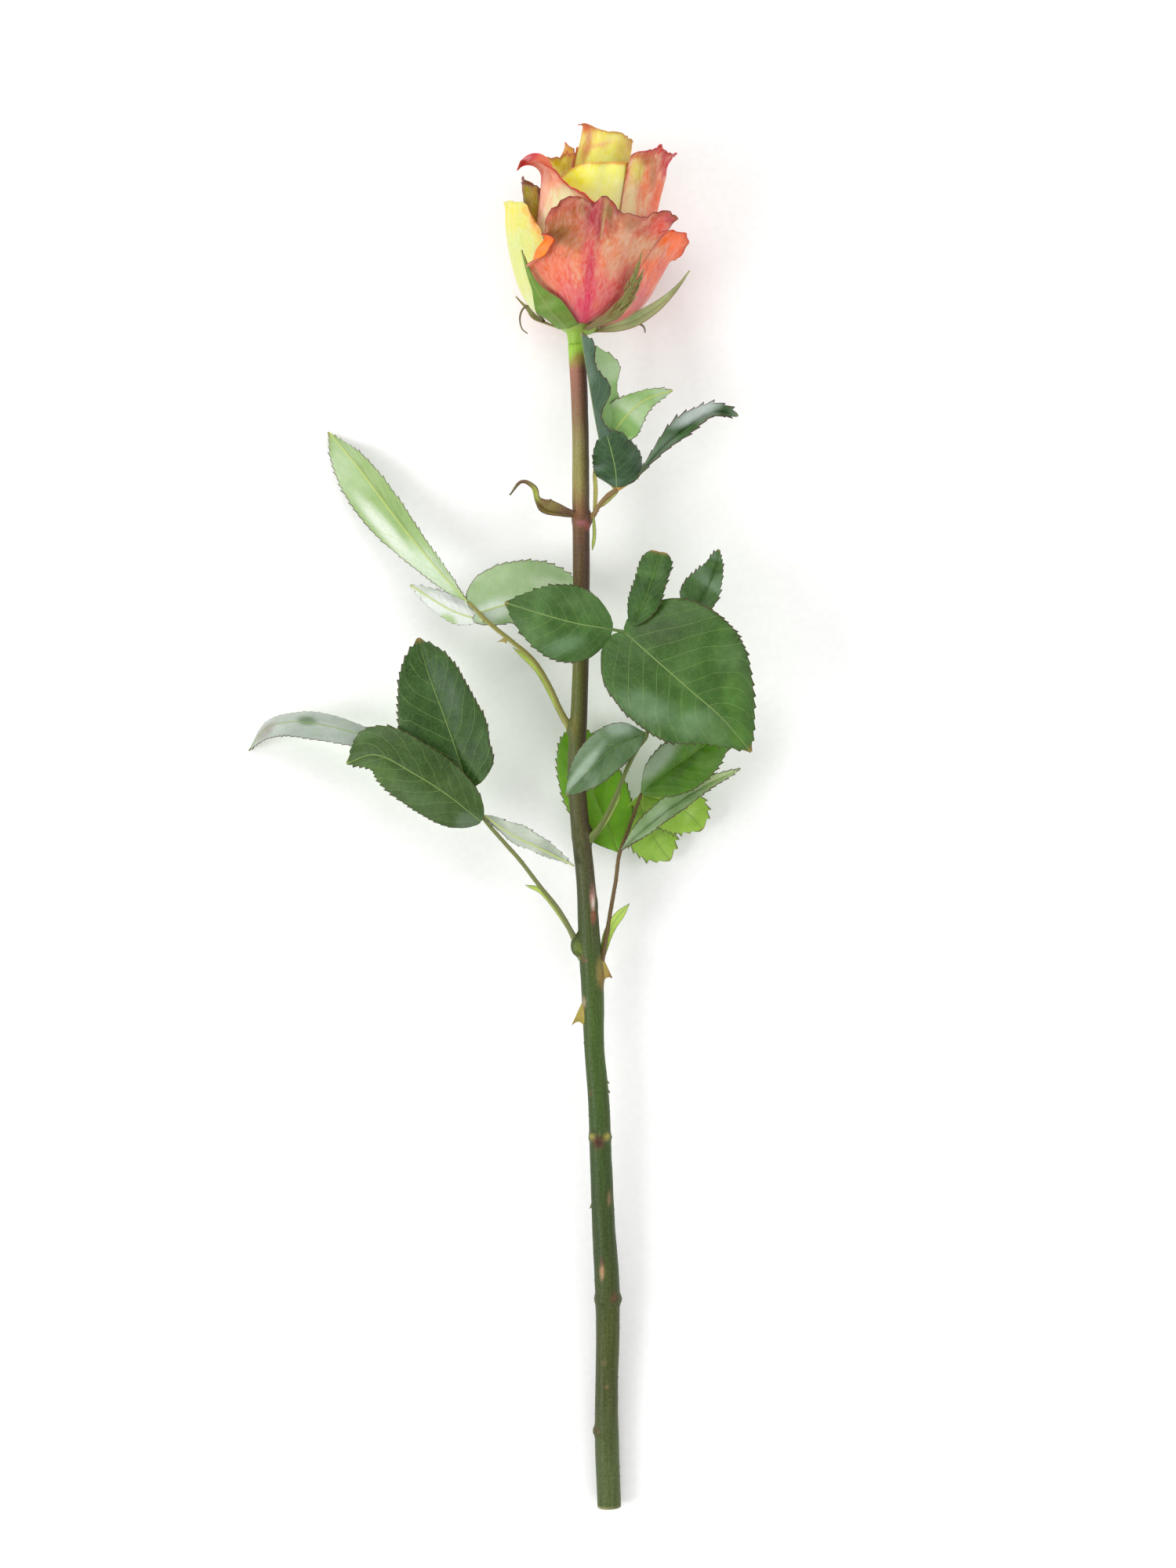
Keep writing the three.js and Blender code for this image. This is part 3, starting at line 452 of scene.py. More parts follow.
@dataclass(frozen=True)
class PetalFinish:
    """Fresh rose petal: soft cells that stand up as velvet, and pale veins that fan out from the foot."""

    name: str
    roughness: float
    streak: float
    glow: float

    def material(self) -> Material:
        """Build the material.

        Returns:
            The material, with the painted tint broken up by streaks that follow the petal's length.
        """
        material, graph, tint, flat = new_graph(self.name)
        # The veins wander by a millimetre on their way up.
        drift = graph.add("TexNoise", flat, {"Scale": 0.16, "Detail": 2.0})
        bent = graph.add("VectorMath", drift.outputs[1], (5.0, 5.0, 0), flat, operation="MULTIPLY_ADD")
        # They join into long meshes, 0.8 mm wide and 4 mm long, drawn twice as coarse as the real net.
        long = graph.add("Mapping", bent, {"Scale": (1.2, 0.26, 1)})
        net = graph.add("TexVoronoi", long, {"Scale": 1.0}, feature="DISTANCE_TO_EDGE")
        lines = graph.add("MapRange", net, 0.0, 0.2, 1 + 0.4 * self.streak, 1 - 0.1 * self.streak)
        # Flecks are 1.5 mm long, as the sun marks them.
        wide = graph.add("Mapping", bent, {"Scale": (0.95, 0.5, 1)})
        blotch = graph.add("TexNoise", wide, {"Scale": 1.0, "Detail": 8.0})
        patches = graph.add("MapRange", blotch, 0.3, 0.7, 1 - self.streak, 1 + self.streak)
        both = graph.add("Math", lines, patches, operation="MULTIPLY")
        # A stronger tint where the factor is high: light goes through more pigment.
        strong = graph.add("Gamma", tint, both)
        deep = graph.add("HueSaturation", {"Color": strong, "Saturation": both})
        cells = graph.add("TexVoronoi", flat, {"Scale": 3.2})
        rise = graph.add("Math", cells, 0.2, blotch, operation="MULTIPLY_ADD")
        raised = graph.add("Math", lines, 0.5, rise, operation="MULTIPLY_ADD")
        bump = graph.add("Bump", {"Strength": 0.3, "Distance": 0.0004, "Height": raised})
        body = graph.add("BsdfPrincipled", {
            "Base Color": deep, "Roughness": self.roughness, "IOR": 1.4, "Specular IOR Level": 0.3,
            "Sheen Weight": 0.1, "Sheen Roughness": 0.4, "Normal": bump})
        light = graph.add("BsdfTranslucent", deep, bump)
        whole = graph.add("MixShader", self.glow, body, light)
        graph.add("OutputMaterial", whole)
        return material


@dataclass(frozen=True)
class LeafFinish:
    """One side of a rose leaf: a waxy cuticle over a net of veins."""

    name: str
    vein: str
    net: str
    margin: str
    roughness: float
    specular: float
    net_strength: float
    vein_strength: float
    relief: float

    def material(self) -> Material:
        """Build the material.

        Returns:
            The material, with the midrib, the side veins, the vein net and the dark margin.
        """
        material, graph, tint, flat = new_graph(self.name)
        vein = graph.add("UVMap", uv_map="Vein")
        apart = graph.add("SeparateXYZ", vein)
        place = graph.add("SeparateXYZ", flat)
        # The blade is cloudy in lumps of about 4 mm, with a fine grain of cells 0.5 mm across.
        mottle = graph.add("TexNoise", flat, {"Scale": 0.25, "Detail": 6.0})
        grain = graph.add("TexNoise", flat, {"Scale": 2.0, "Detail": 3.0})
        uneven = graph.add("Math", grain, 0.3, mottle, operation="MULTIPLY_ADD")
        shade = graph.add("MapRange", uneven, 0.42, 0.88, 0.9, 1.1)
        blade = graph.add("Gamma", tint, shade)
        # The net of veins has meshes of 2 mm, with finer ones of 0.9 mm in them.
        bent = graph.add("VectorMath", mottle.outputs[1], (4.0, 4.0, 0), flat, operation="MULTIPLY_ADD")
        coarse = graph.add("TexVoronoi", bent, {"Scale": 0.5}, feature="DISTANCE_TO_EDGE")
        fine = graph.add("TexVoronoi", bent, {"Scale": 1.1}, feature="DISTANCE_TO_EDGE")
        threads = graph.add("MapRange", coarse, 0.0, 0.055, 1, 0)
        hairs = graph.add("MapRange", fine, 0.0, 0.08, 0.5, 0)
        mesh = graph.add("Math", threads, hairs, operation="MAXIMUM")
        faint = graph.add("Math", mesh, self.net_strength, operation="MULTIPLY")
        netted = graph.add("Mix", {0: faint, 6: blade, 7: paint_of(self.net)}, data_type="RGBA").outputs[2]
        # Side veins: thin lines where the count passes a whole number.
        phase = graph.add("Math", apart, 0.5, operation="PINGPONG")
        side = graph.add("MapRange", phase, 0.006, 0.034, self.vein_strength, 0)
        size = graph.add("Math", place, operation="ABSOLUTE")
        rib = graph.add("MapRange", size, 0.08, 0.28, 0.8, 0)
        lines = graph.add("Math", side, rib, operation="MAXIMUM")
        veined = graph.add("Mix", {0: lines, 6: netted, 7: paint_of(self.vein)}, data_type="RGBA").outputs[2]
        rim = graph.add("MapRange", apart.outputs[1], 0.975, 1.0, 0, 0.85)
        edged = graph.add("Mix", {0: rim, 6: veined, 7: paint_of(self.margin)}, data_type="RGBA").outputs[2]
        sunk = graph.add("Math", mesh, -0.35, grain, operation="MULTIPLY_ADD")
        deep = graph.add("Math", lines, -1.0, sunk, operation="MULTIPLY_ADD")
        bump = graph.add("Bump", {"Strength": 0.5, "Distance": self.relief * METRE, "Height": deep})
        body = graph.add("BsdfPrincipled", {
            "Base Color": edged, "Roughness": self.roughness, "IOR": 1.45,
            "Specular IOR Level": self.specular, "Normal": bump})
        light = graph.add("BsdfTranslucent", edged, bump)
        whole = graph.add("MixShader", 0.08, body, light)
        graph.add("OutputMaterial", whole)
        return material


@dataclass(frozen=True)
class BarkFinish:
    """Young rose bark and petiole skin: smooth and waxed, with fine lengthwise fibres under it."""

    name: str
    roughness: float
    specular: float
    fibre: float

    def material(self) -> Material:
        """Build the material.

        Returns:
            The material, with fibres along the Flat map and small specks.
        """
        material, graph, tint, flat = new_graph(self.name)
        # Fibres are 0.4 mm apart and some centimetres long.
        drawn = graph.add("Mapping", flat, {"Scale": (2.4, 0.07, 1)})
        grain = graph.add("TexNoise", drawn, {"Scale": 1.0, "Detail": 6.0})
        specks = graph.add("TexNoise", flat, {"Scale": 1.1, "Detail": 7.0})
        lines = graph.add("MapRange", grain, 0.3, 0.7, 1 - self.fibre, 1 + self.fibre)
        dots = graph.add("MapRange", specks, 0.35, 0.68, 1 - 0.8 * self.fibre, 1 + 0.8 * self.fibre)
        both = graph.add("Math", lines, dots, operation="MULTIPLY")
        skin = graph.add("Gamma", tint, both)
        rise = graph.add("Math", grain, specks, operation="ADD")
        bump = graph.add("Bump", {"Strength": 0.35, "Distance": 0.00025, "Height": rise})
        body = graph.add("BsdfPrincipled", {
            "Base Color": skin, "Roughness": self.roughness, "IOR": 1.45,
            "Specular IOR Level": self.specular, "Normal": bump})
        graph.add("OutputMaterial", body)
        return material


@dataclass(frozen=True)
class TableFinish:
    """Matte white table top: it gives the eye a soft even ground with a faint shadow."""

    name: str
    code: str

    def material(self) -> Material:
        """Build the material.

        Returns:
            The material, nearly even, with a faint grain.
        """
        material = bpy.data.materials.new(self.name)
        material.use_nodes = True
        graph = Graph(material.node_tree)
        where = graph.add("TexCoord")
        grain = graph.add("TexNoise", where.outputs["Object"], {"Scale": 400.0})
        white = paint_of("#ffffff")
        tone = graph.add("Mix", {0: grain, 6: paint_of(self.code), 7: white}, data_type="RGBA").outputs[2]
        body = graph.add("BsdfPrincipled", {"Base Color": tone, "Roughness": 0.8})
        graph.add("OutputMaterial", body)
        return material


class Finishes:
    """The materials of the flower, each made once."""

    def __init__(self) -> None:
        """Make the materials."""
        self.petal_outer = PetalFinish("rose petal, outer side", 0.5, 0.085, 0.1).material()
        self.petal_inner = PetalFinish("rose petal, velvet inner side", 0.6, 0.06, 0.1).material()
        self.leaf_upper, self.leaf_under, self.sepal_inner, self.sepal_outer = (
            LeafFinish(*values).material() for values in (
                ("rose leaf, waxed upper side", "#8aa458", "#6c9448", "#4f2c2a", 0.38, 0.4, 0.17, 0.34, 0.2),
                ("rose leaf, matte underside", "#bccb6c", "#86ad68", "#5c3230", 0.45, 0.4, 0.2, 0.42, -0.25),
                ("sepal, downy inner side", "#a8c07c", "#c4d4a4", "#8a7048", 0.6, 0.3, 0.2, 0.3, 0.12),
                ("sepal, smooth outer side", "#8a9a50", "#8aa45c", "#7a5a40", 0.5, 0.4, 0.3, 0.35, -0.15)))
        self.stalk = BarkFinish("leaf stalk skin", 0.42, 0.45, 0.08).material()
        self.bark = BarkFinish("waxed young rose bark", 0.45, 0.3, 0.09).material()
        self.pore = BarkFinish("corky breathing pore", 0.8, 0.2, 0.1).material()


# Geometry Nodes: what repeats on the skin.


class Shape(Enum):
    """What is scattered over the skin."""

    BREATHING_PORE = "pore"
    BRISTLE = "bristle"


@dataclass(frozen=True)
class Scatter:
    """Small repeats scattered over a skin by Geometry Nodes.

    The size is across, along and away from the skin. The density is the number per square metre.
    """

    name: str
    shape: Shape
    density: float
    size: tuple[float, float, float]
    low: float
    high: float
    seed: int
    finish: Material

    def tree(self) -> NodeTree:
        """Build the node group.

        Returns:
            The group, with its inputs named Density, Size, Low, High and Seed.
        """
        group = bpy.data.node_groups.new(self.name, "GeometryNodeTree")
        ways = group.interface
        ways.new_socket("Geometry", in_out="INPUT", socket_type="NodeSocketGeometry")
        for label, kind in (("Density", "Float"), ("Size", "Vector"), ("Low", "Float"), ("High", "Float"),
                            ("Seed", "Int")):
            ways.new_socket(label, in_out="INPUT", socket_type="NodeSocket" + kind)
        ways.new_socket("Geometry", in_out="OUTPUT", socket_type="NodeSocketGeometry")
        graph = Graph(group)
        given = graph.add("NodeGroupInput").outputs
        place = graph.add("GeometryNodeInputPosition")
        apart = graph.add("SeparateXYZ", place)
        above = graph.add("Math", apart.outputs[1], given["Low"], operation="GREATER_THAN")
        below = graph.add("Math", apart.outputs[1], given["High"], operation="LESS_THAN")
        both = graph.add("Math", above, below, operation="MULTIPLY")
        points = graph.add("GeometryNodeDistributePointsOnFaces", {
            "Mesh": given["Geometry"], "Selection": both, "Density": given["Density"],
            "Seed": given["Seed"]})
        if self.shape is Shape.BREATHING_PORE:
            form = graph.add("GeometryNodeMeshIcoSphere", {"Radius": 1.0, "Subdivisions": 1})
        else:
            form = graph.add("GeometryNodeMeshCone", {
                "Vertices": 5, "Radius Top": 0.12, "Radius Bottom": 1.0, "Depth": 1.0})
        turned = graph.add("FunctionNodeAlignRotationToVector", {
            "Rotation": points.outputs["Rotation"], "Vector": (0.0, 1.0, 0.0)}, axis="Y", pivot_axis="Z")
        chance = graph.add("FunctionNodeRandomValue", {2: 0.55, 3: 1.25, "Seed": given["Seed"]})
        scaled = graph.add("VectorMath", given["Size"], {"Scale": chance.outputs[1]}, operation="SCALE")
        placed = graph.add("GeometryNodeInstanceOnPoints", {
            "Points": points.outputs["Points"], "Instance": form.outputs["Mesh"], "Rotation": turned,
            "Scale": scaled})
        real = graph.add("GeometryNodeRealizeInstances", placed)
        dressed = graph.add("GeometryNodeSetMaterial", real, {"Material": self.finish})
        graph.add("NodeGroupOutput", dressed)
        return group

    def over(self, skin: Mesh) -> Mesh:
        """Scatter the shapes over a skin.

        Args:
            skin: The mesh that carries them.

        Returns:
            A plain mesh of the shapes alone.
        """
        host = bpy.data.objects.new(self.name + "_host", skin)
        bpy.context.scene.collection.objects.link(host)
        modifier = host.modifiers.new(self.name, "NODES")
        modifier.node_group = self.tree()
        values = {"Density": self.density, "Size": [value * METRE for value in self.size],
                  "Low": (self.low + MIDDLE[1]) * METRE, "High": (self.high + MIDDLE[1]) * METRE,
                  "Seed": self.seed}
        for item in modifier.node_group.interface.items_tree:
            if item.item_type == "SOCKET" and item.in_out == "INPUT" and item.name in values:
                modifier[item.identifier] = values[item.name]
        seen = host.evaluated_get(bpy.context.evaluated_depsgraph_get())
        mesh = bpy.data.meshes.new_from_object(seen)
        bpy.data.objects.remove(host)
        mesh.name = self.name
        return mesh


# Stems and stalks.


@dataclass
class Rod:
    """A round rod through centre points, with a radius at each."""

    centres: Rows
    radii: Numbers
    sides: int = 12
    per_span: int = 6
    top: str = "#8a6a3c"
    flank: str = "#9fb84e"
    seed: int = 3

    def frames(self, t: Array) -> tuple[Array, ...]:
        """Give what the rings are drawn from.

        Args:
            t: How far along the rod each ring is, from 0 to 1.

        Returns:
            The centre of each ring and how many millimetres along it is, the angle of each side, and the
            direction of each corner from its centre.
        """
        centre = through(self.centres, t)
        ahead = unit(through(self.centres, t + 0.01) - through(self.centres, t - 0.01))
        guide = np.where(np.abs(ahead[:, 2:]) > 0.9, np.array([[0.0, 1.0, 0.0]]), UP[None])
        side = unit(np.cross(ahead, guide))
        turn = np.linspace(0, 2 * math.pi, self.sides, endpoint=False)
        ways = side[:, None] * np.cos(turn)[:, None] + np.cross(side, ahead)[:, None] * np.sin(turn)[:, None]
        length = np.concatenate([[0], np.cumsum(np.linalg.norm(np.diff(centre, axis=0), axis=1))])
        return centre, length[:, None], turn, ways

    def add_to(self, skin: Skin) -> None:
        """Add the rod, brown where the sun falls on it and green below.

        Args:
            skin: What it is added to.
        """
        t = np.linspace(0, 1, self.per_span * (len(self.centres) - 1) + 1)
        centre, length, turn, ways = self.frames(t)
        radius = profile(self.radii, t)[:, None]
        # A shallow groove runs along the upper side.
        groove = 1 - 0.12 * bell((turn - math.pi / 2) / 0.45)
        reach = radius * groove * (1 + 0.06 * cloud(turn * 1.4, length, self.seed, 1.6))
        rings = centre[:, None] + ways * reach[..., None]
        shine = np.clip(0.55 + ways[..., 2] * 0.7 + ways[..., 0] * 0.25, 0, 1)
        tint = colour(self.flank) + shine[..., None] * (colour(self.top) - colour(self.flank))
        skin.add_rings(rings, tint, paired(turn * radius.mean(), length))


@dataclass
class Prickle:
    """A hooked prickle: a long narrow foot on the bark that narrows to a sharp brown tip."""

    foot: Numbers
    tip: Numbers
    radius: float
    code: str = "#d3a24c"
    end: str = "#7c3a26"

    def add_to(self, skin: Skin) -> None:
        """Add the prickle, its foot drawn out along the stem and its tip hooked towards the cut end.

        Args:
            skin: What it is added to.
        """
        foot = np.array(self.foot)
        tip = np.array(self.tip)
        t = np.linspace(0, 1, 12)
        hook = np.array([0.0, self.radius * 0.3, 0.0])
        centre = foot + (tip - foot) * t[:, None] + hook * np.sin(math.pi * t)[:, None]
        way = unit(tip - foot)
        long = np.array([0.0, 1.0, 0.0])
        thin = unit(np.cross(way, long))
        turn = np.linspace(0, 2 * math.pi, 14, endpoint=False)
        size = self.radius * ((1 - t) ** 1.15 * 0.94 + 0.05)
        stretch = 1.2 + 0.8 * (1 - t) ** 2
        ring = (long * np.cos(turn)[:, None])[None] * (size * stretch)[:, None, None]
        ring = ring + (thin * np.sin(turn)[:, None])[None] * (size * 0.62)[:, None, None]
        rings = centre[:, None] + ring
        codes = f"{self.code} " * 3 + self.end
        tint = np.broadcast_to(blend(codes, t)[:, None], rings.shape)
        skin.add_rings(rings, tint, paired(turn * self.radius, t[:, None] * 4))


@dataclass
class CutStem:
    """The stem with its swellings, leaf scars and prickles, from the cut end to the calyx."""

    centres: Rows = (
        [7, -239, 4.1], [6.2, -217, 5], [6.1, -200, 6.1], [6.5, -181, 7.3], [6.3, -164, 8.3],
        [5.2, -146, 9.3], [4.2, -122, 10.6], [3.5, -104, 11.6], [2, -86, 12.6], [1.5, -68, 13.8],
        [0.4, -50, 14.8], [-0.7, -32, 15.8], [-2.5, -14, 16.7], [-3.8, 4, 17.6], [-3, 22, 18.8],
        [-2.4, 40, 19.8], [-2.2, 58, 20.9], [-2.2, 76, 22], [-2.3, 94, 23.1], [-2.4, 112, 24.3],
        [-2.9, 128, 25.3], [-3.6, 142.2, 26.7])
    radii: Numbers = (
        3.9, 4, 3.75, 3.85, 4.1, 3.8, 3.6, 3.5, 3.3, 3.7, 3.6, 3.1, 3.05, 2.9, 2.75, 2.65, 2.7, 2.75, 2.8,
        2.7, 2.75, 2.9)
    # Centre, half length and half width of each swelling.
    swellings: Sequence[tuple[Numbers, float, float]] = (
        ([-1.9, 86, 22.8], 3.8, 3.4), ([-2.8, -52.8, 14.6], 4, 2.9), ([-1.6, -17, 17.2], 4.6, 3.5),
        ([3.2, -61.5, 14.2], 5.6, 2.5), ([-4.2, 18, 18.6], 4, 2.9), ([4, -115.8, 12.4], 2.6, 3.9),
        ([6.6, -169.5, 8.2], 3.4, 4.6), ([4.6, -213.5, 5.6], 2.6, 3.1), ([1.6, -40, 17], 5.2, 1.7))
    prickles: Sequence[Prickle] = (
        Prickle([3.4, -61.2, 14.2], [7.9, -63.4, 14.4], 4.2, "#a08a44", "#7a4a24"),
        Prickle([-0.2, -74.4, 13.6], [-5.2, -78.8, 13.6], 3.7, "#98883a", "#8a6a2c"),
        Prickle([2.6, -84.6, 13], [5.4, -85.2, 13.2], 1.9, "#7f5a3c", "#54301f"),
        Prickle([5, -101, 12], [7.3, -101.2, 12], 2, "#7c6c38", "#54402a"),
        Prickle([5.2, -98, 12], [7.1, -98.2, 12], 1.4, "#8a7a3c", "#5c4426"),
        Prickle([2, -138, 10], [0.5, -139.6, 10], 1.9, "#5f5a30", "#5c4424"),
        Prickle([0.4, -33, 12.8], [0.8, -34.6, 10.2], 1.5), Prickle([3.9, -96, 8.6], [4.2, -97.6, 5.4], 1.5))
    # Colours along the stem, by distance from its middle.
    colours: Sequence[tuple[float, str]] = (
        (-240, "#4a592d"), (-225, "#4d5b30"), (-200, "#404920"), (-179, "#444d1e"), (-153, "#36461d"),
        (-128, "#364a1d"), (-97, "#3d541f"), (-80, "#415821"), (-59, "#3f511f"), (-45, "#404c24"),
        (-33, "#434927"), (-10, "#4d4d28"), (10, "#585e2f"), (33, "#676c33"), (50, "#655f30"),
        (64, "#5c4a2a"), (76, "#56412a"), (82, "#64492d"), (87, "#714b32"), (91, "#7c5f39"), (97, "#877f45"),
        (107, "#87814c"), (118, "#816948"), (128, "#8f6451"), (134, "#9e6955"), (137, "#968a40"),
        (140, "#98c443"))
    # Scars: place across and along, half width and half length, colour, strength and lean.
    scars: Sequence[Patch] = (
        (1.5, -36.5, 0.9, 3.6, "#b08478", 0.9), (1.7, -39, 0.5, 2.2, "#d6c4b4", 0.8),
        (1.8, -43.2, 0.9, 2.6, "#8a5440", 0.9), (1.2, -34.4, 0.4, 1.4, "#54302c", 0.9),
        (3.4, -117, 2.1, 2.3, "#5c3626", 0.95), (3.6, -117.2, 0.9, 1.4, "#3a2016", 0.95),
        (1.1, -115.4, 1, 0.9, "#a89a4c", 0.9), (6.3, -115.2, 1.1, 1.2, "#a39848", 0.9),
        (4.6, -160, 0.8, 2.6, "#a9825c", 0.9), (4.4, -156.6, 0.5, 1.6, "#5c3c2c", 0.9),
        (7, -136, 0.7, 2.4, "#8c6c50", 0.8), (8.6, -168.4, 1.3, 1.8, "#5a3a28", 0.9),
        (2.4, -213, 1.6, 1.2, "#5c3f28", 0.9), (6.2, -198, 0.8, 0.8, "#7c6a44", 0.6),
        (-1.6, -71.4, 0.9, 1.9, "#c4a888", 0.85), (-2, -74, 1, 1.4, "#8a5030", 0.9),
        (4.2, -61, 1.5, 5, "#a08a4c", 0.8), (4.8, -64, 0.8, 3.4, "#945f38", 0.8),
        (-3.6, -53.6, 1.6, 2.6, "#7f9438", 0.7, 25), (-1.8, -57, 1.8, 0.6, "#7c4c38", 0.85, -30),
        (-4.4, 18.6, 1.3, 3.2, "#8a7a34", 0.4), (3.4, -18, 1.6, 3.4, "#8a7a44", 0.7),
        (-2.2, 84.2, 2.4, 0.6, "#a8606c", 0.8), (0.4, 83.4, 1.6, 1.4, "#b0564e", 0.7),
        (2.2, -184, 0.7, 0.9, "#6a5a38", 0.6), (5.4, -190, 0.9, 0.7, "#79653f", 0.6),
        (1.6, -150, 0.8, 0.9, "#5c4a30", 0.7), (0.8, -101.4, 0.6, 1.2, "#6a5030", 0.7))
    rings: int = 360
    sides: int = 44

    def skin(self) -> Skin:
        """Build the stem's skin.

        Returns:
            The closed body of the stem and its prickles.
        """
        t = np.linspace(0, 1, self.rings)
        centre, length, turn, ways = Rod(self.centres, self.radii, self.sides).frames(t)
        reach = profile(self.radii, t)[:, None] * (
            1 + 0.012 * np.sin(3 * turn + 0.05 * length) + 0.014 * cloud(turn * 2.2, length, 5, 4.0))
        for at, long, wide in self.swellings:
            reach = self.swollen(reach, centre, ways, np.array(at), np.array([wide, long, wide]))
        rings = centre[:, None] + ways * reach[..., None]
        rings, start = self.rounded(rings)
        skin = Skin()
        mean_radius = 3.3
        skin.add_rings(rings, self.tint(rings, ways[start]), paired(turn * mean_radius, length[start]))
        for prickle in self.prickles:
            prickle.add_to(skin)
        return skin

    @staticmethod
    def swollen(reach: Array, centre: Array, ways: Array, at: Array, size: Array) -> Array:
        """Raise the skin over a swelling, with a soft foot all round it.

        Args:
            reach: How far the skin is from the centre line, by ring and side.
            centre: The centre of each ring.
            ways: The direction of each corner from its centre.
            at: The middle of the swelling.
            size: Its half sizes.

        Returns:
            The new reach.
        """
        start = (centre - at) / size
        way = ways / size
        a = (way ** 2).sum(axis=-1)
        b = (way * start[:, None]).sum(axis=-1)
        c = (start ** 2).sum(axis=-1)[:, None] - 1
        inside = b * b - a * c
        missed = -9.0
        far = np.where(inside > 0, (np.sqrt(np.maximum(inside, 0)) - b) / a, missed)
        soft = 0.7
        share = np.clip(0.5 + 0.5 * (far - reach) / soft, 0, 1)
        return reach + share * (far - reach) + soft * share * (1 - share)

    @staticmethod
    def rounded(rings: Array) -> tuple[Array, Array]:
        """Close the cut end with a flat face whose edge is slightly rounded.

        Args:
            rings: The rings of the stem, the cut end first.

        Returns:
            The rings with those of the cut face before them, and for each the ring that it came from.
        """
        first = rings[0]
        middle = first.mean(axis=0)
        shares = (0.2, 0.45, 0.7, 0.9, 0.97)
        face = np.array([middle + (first - middle) * share for share in shares])
        face[-1, :, 1] += 0.12
        edge = rings.copy()
        edge[0, :, 1] += 0.35
        kept = edge[:, :, 1].min(axis=1) >= edge[0, :, 1].min() - 1e-6
        picks = np.flatnonzero(kept)
        return np.concatenate([face, edge[picks]]), np.concatenate([np.zeros(len(shares), int), picks])

    def tint(self, rings: Array, ways: Array) -> Array:
        """Paint the stem: colours along it, a right side darkened by red-brown bark and by painted shade,
        painted shade down the lower left side, scars and the pale cut face.

        Args:
            rings: The places, by ring and side.
            ways: The direction of each from the centre line.

        Returns:
            The colour of each place.
        """
        x, y = rings[..., 0], rings[..., 1]
        stops = [stop for stop, _ in self.colours]
        codes = np.array([colour(code) for _, code in self.colours])
        level = y + 1.5 * cloud(x, y, 9, 3.0)
        tint = np.stack([np.interp(level, stops, codes[:, n]) for n in range(3)], axis=-1)
        # The right side is painted dark red-brown: partly the bark's own colour, partly painted shade.
        red_bark_and_shade = np.clip(ways[..., 0] * 1.1 + 0.1, 0, 1) ** 0.8 * np.clip((y + 60) / 60, 0.1, 1)
        tint = towards(tint, "#3f2a20", red_bark_and_shade * 0.85 * np.clip((138 - y) / 4, 0, 1))
        # Painted shade: the lower left side is darkened against the light that falls on it from the left.
        shaded = np.clip(-ways[..., 0] * 1.2 - 0.2, 0, 1)
        tint = towards(tint, "#26300f", shaded * 0.35 * np.clip((40 - y) / 30, 0, 1))
        tint = patched(tint, x, y, self.scars, np.clip(ways[..., 2], 0, 1))
        return towards(tint, "#b9b184", bell((y - y.min()) / 0.4) * 0.9)


# Leaves.


# The rows within a tooth, as shares of its length, and the columns from the midrib to the margin.
TOOTH_STEPS = (0, 0.4, 0.7, 0.88)
COLUMNS = np.array([0, 0.03, 0.08, 0.16, 0.27, 0.39, 0.51, 0.62, 0.72, 0.81, 0.88, 0.94, 1])
# The colours of the darker and of the lighter lumps on an upper side.
GREEN_LUMPS = "#1f3f0c #55803c"


class Outline(Enum):
    """Half widths of a blade from its base to its tip, as a share of the widest place."""

    OVATE = (0, 0.66, 0.93, 1, 0.93, 0.74, 0.42, 0)
    ROUND = (0, 0.78, 0.97, 1, 0.96, 0.84, 0.54, 0)
    BROAD = (0, 0.78, 0.98, 1, 0.97, 0.86, 0.6, 0.3, 0)
    LANCE = (0, 0.45, 0.8, 1, 0.95, 0.75, 0.4, 0)
    LATE = (0, 0.3, 0.52, 0.78, 1, 0.96, 0.62, 0)
    EARLY = (0, 0.85, 1, 0.82, 0.62, 0.42, 0.24, 0)
    STRAP = (0, 0.6, 0.88, 0.98, 1, 1, 0.96, 0.75)
    BRACT = (0.3, 0.5, 0.85, 1, 0.35, 0.28, 0.2, 0.12, 0)
    WING = (0.3, 0.8, 1, 1, 0.9, 0)
    SEPAL = (0.3, 0.8, 1, 0.95, 0.76, 0.54, 0.32, 0.14, 0)
    TAILED = (0.7, 1, 1, 0.72, 0.38, 0.22, 0.15, 0.08, 0)
    TAPERED = (0, 0.75, 0.95, 1, 1, 0.86, 0.68, 0.42, 0)
    SHOULDERED = (0, 0.8, 0.92, 1, 0.93, 0.85, 0.75, 0.5, 0)
    BLUNT = (0, 0.62, 0.84, 0.94, 0.98, 1, 0.96, 0.72, 0)


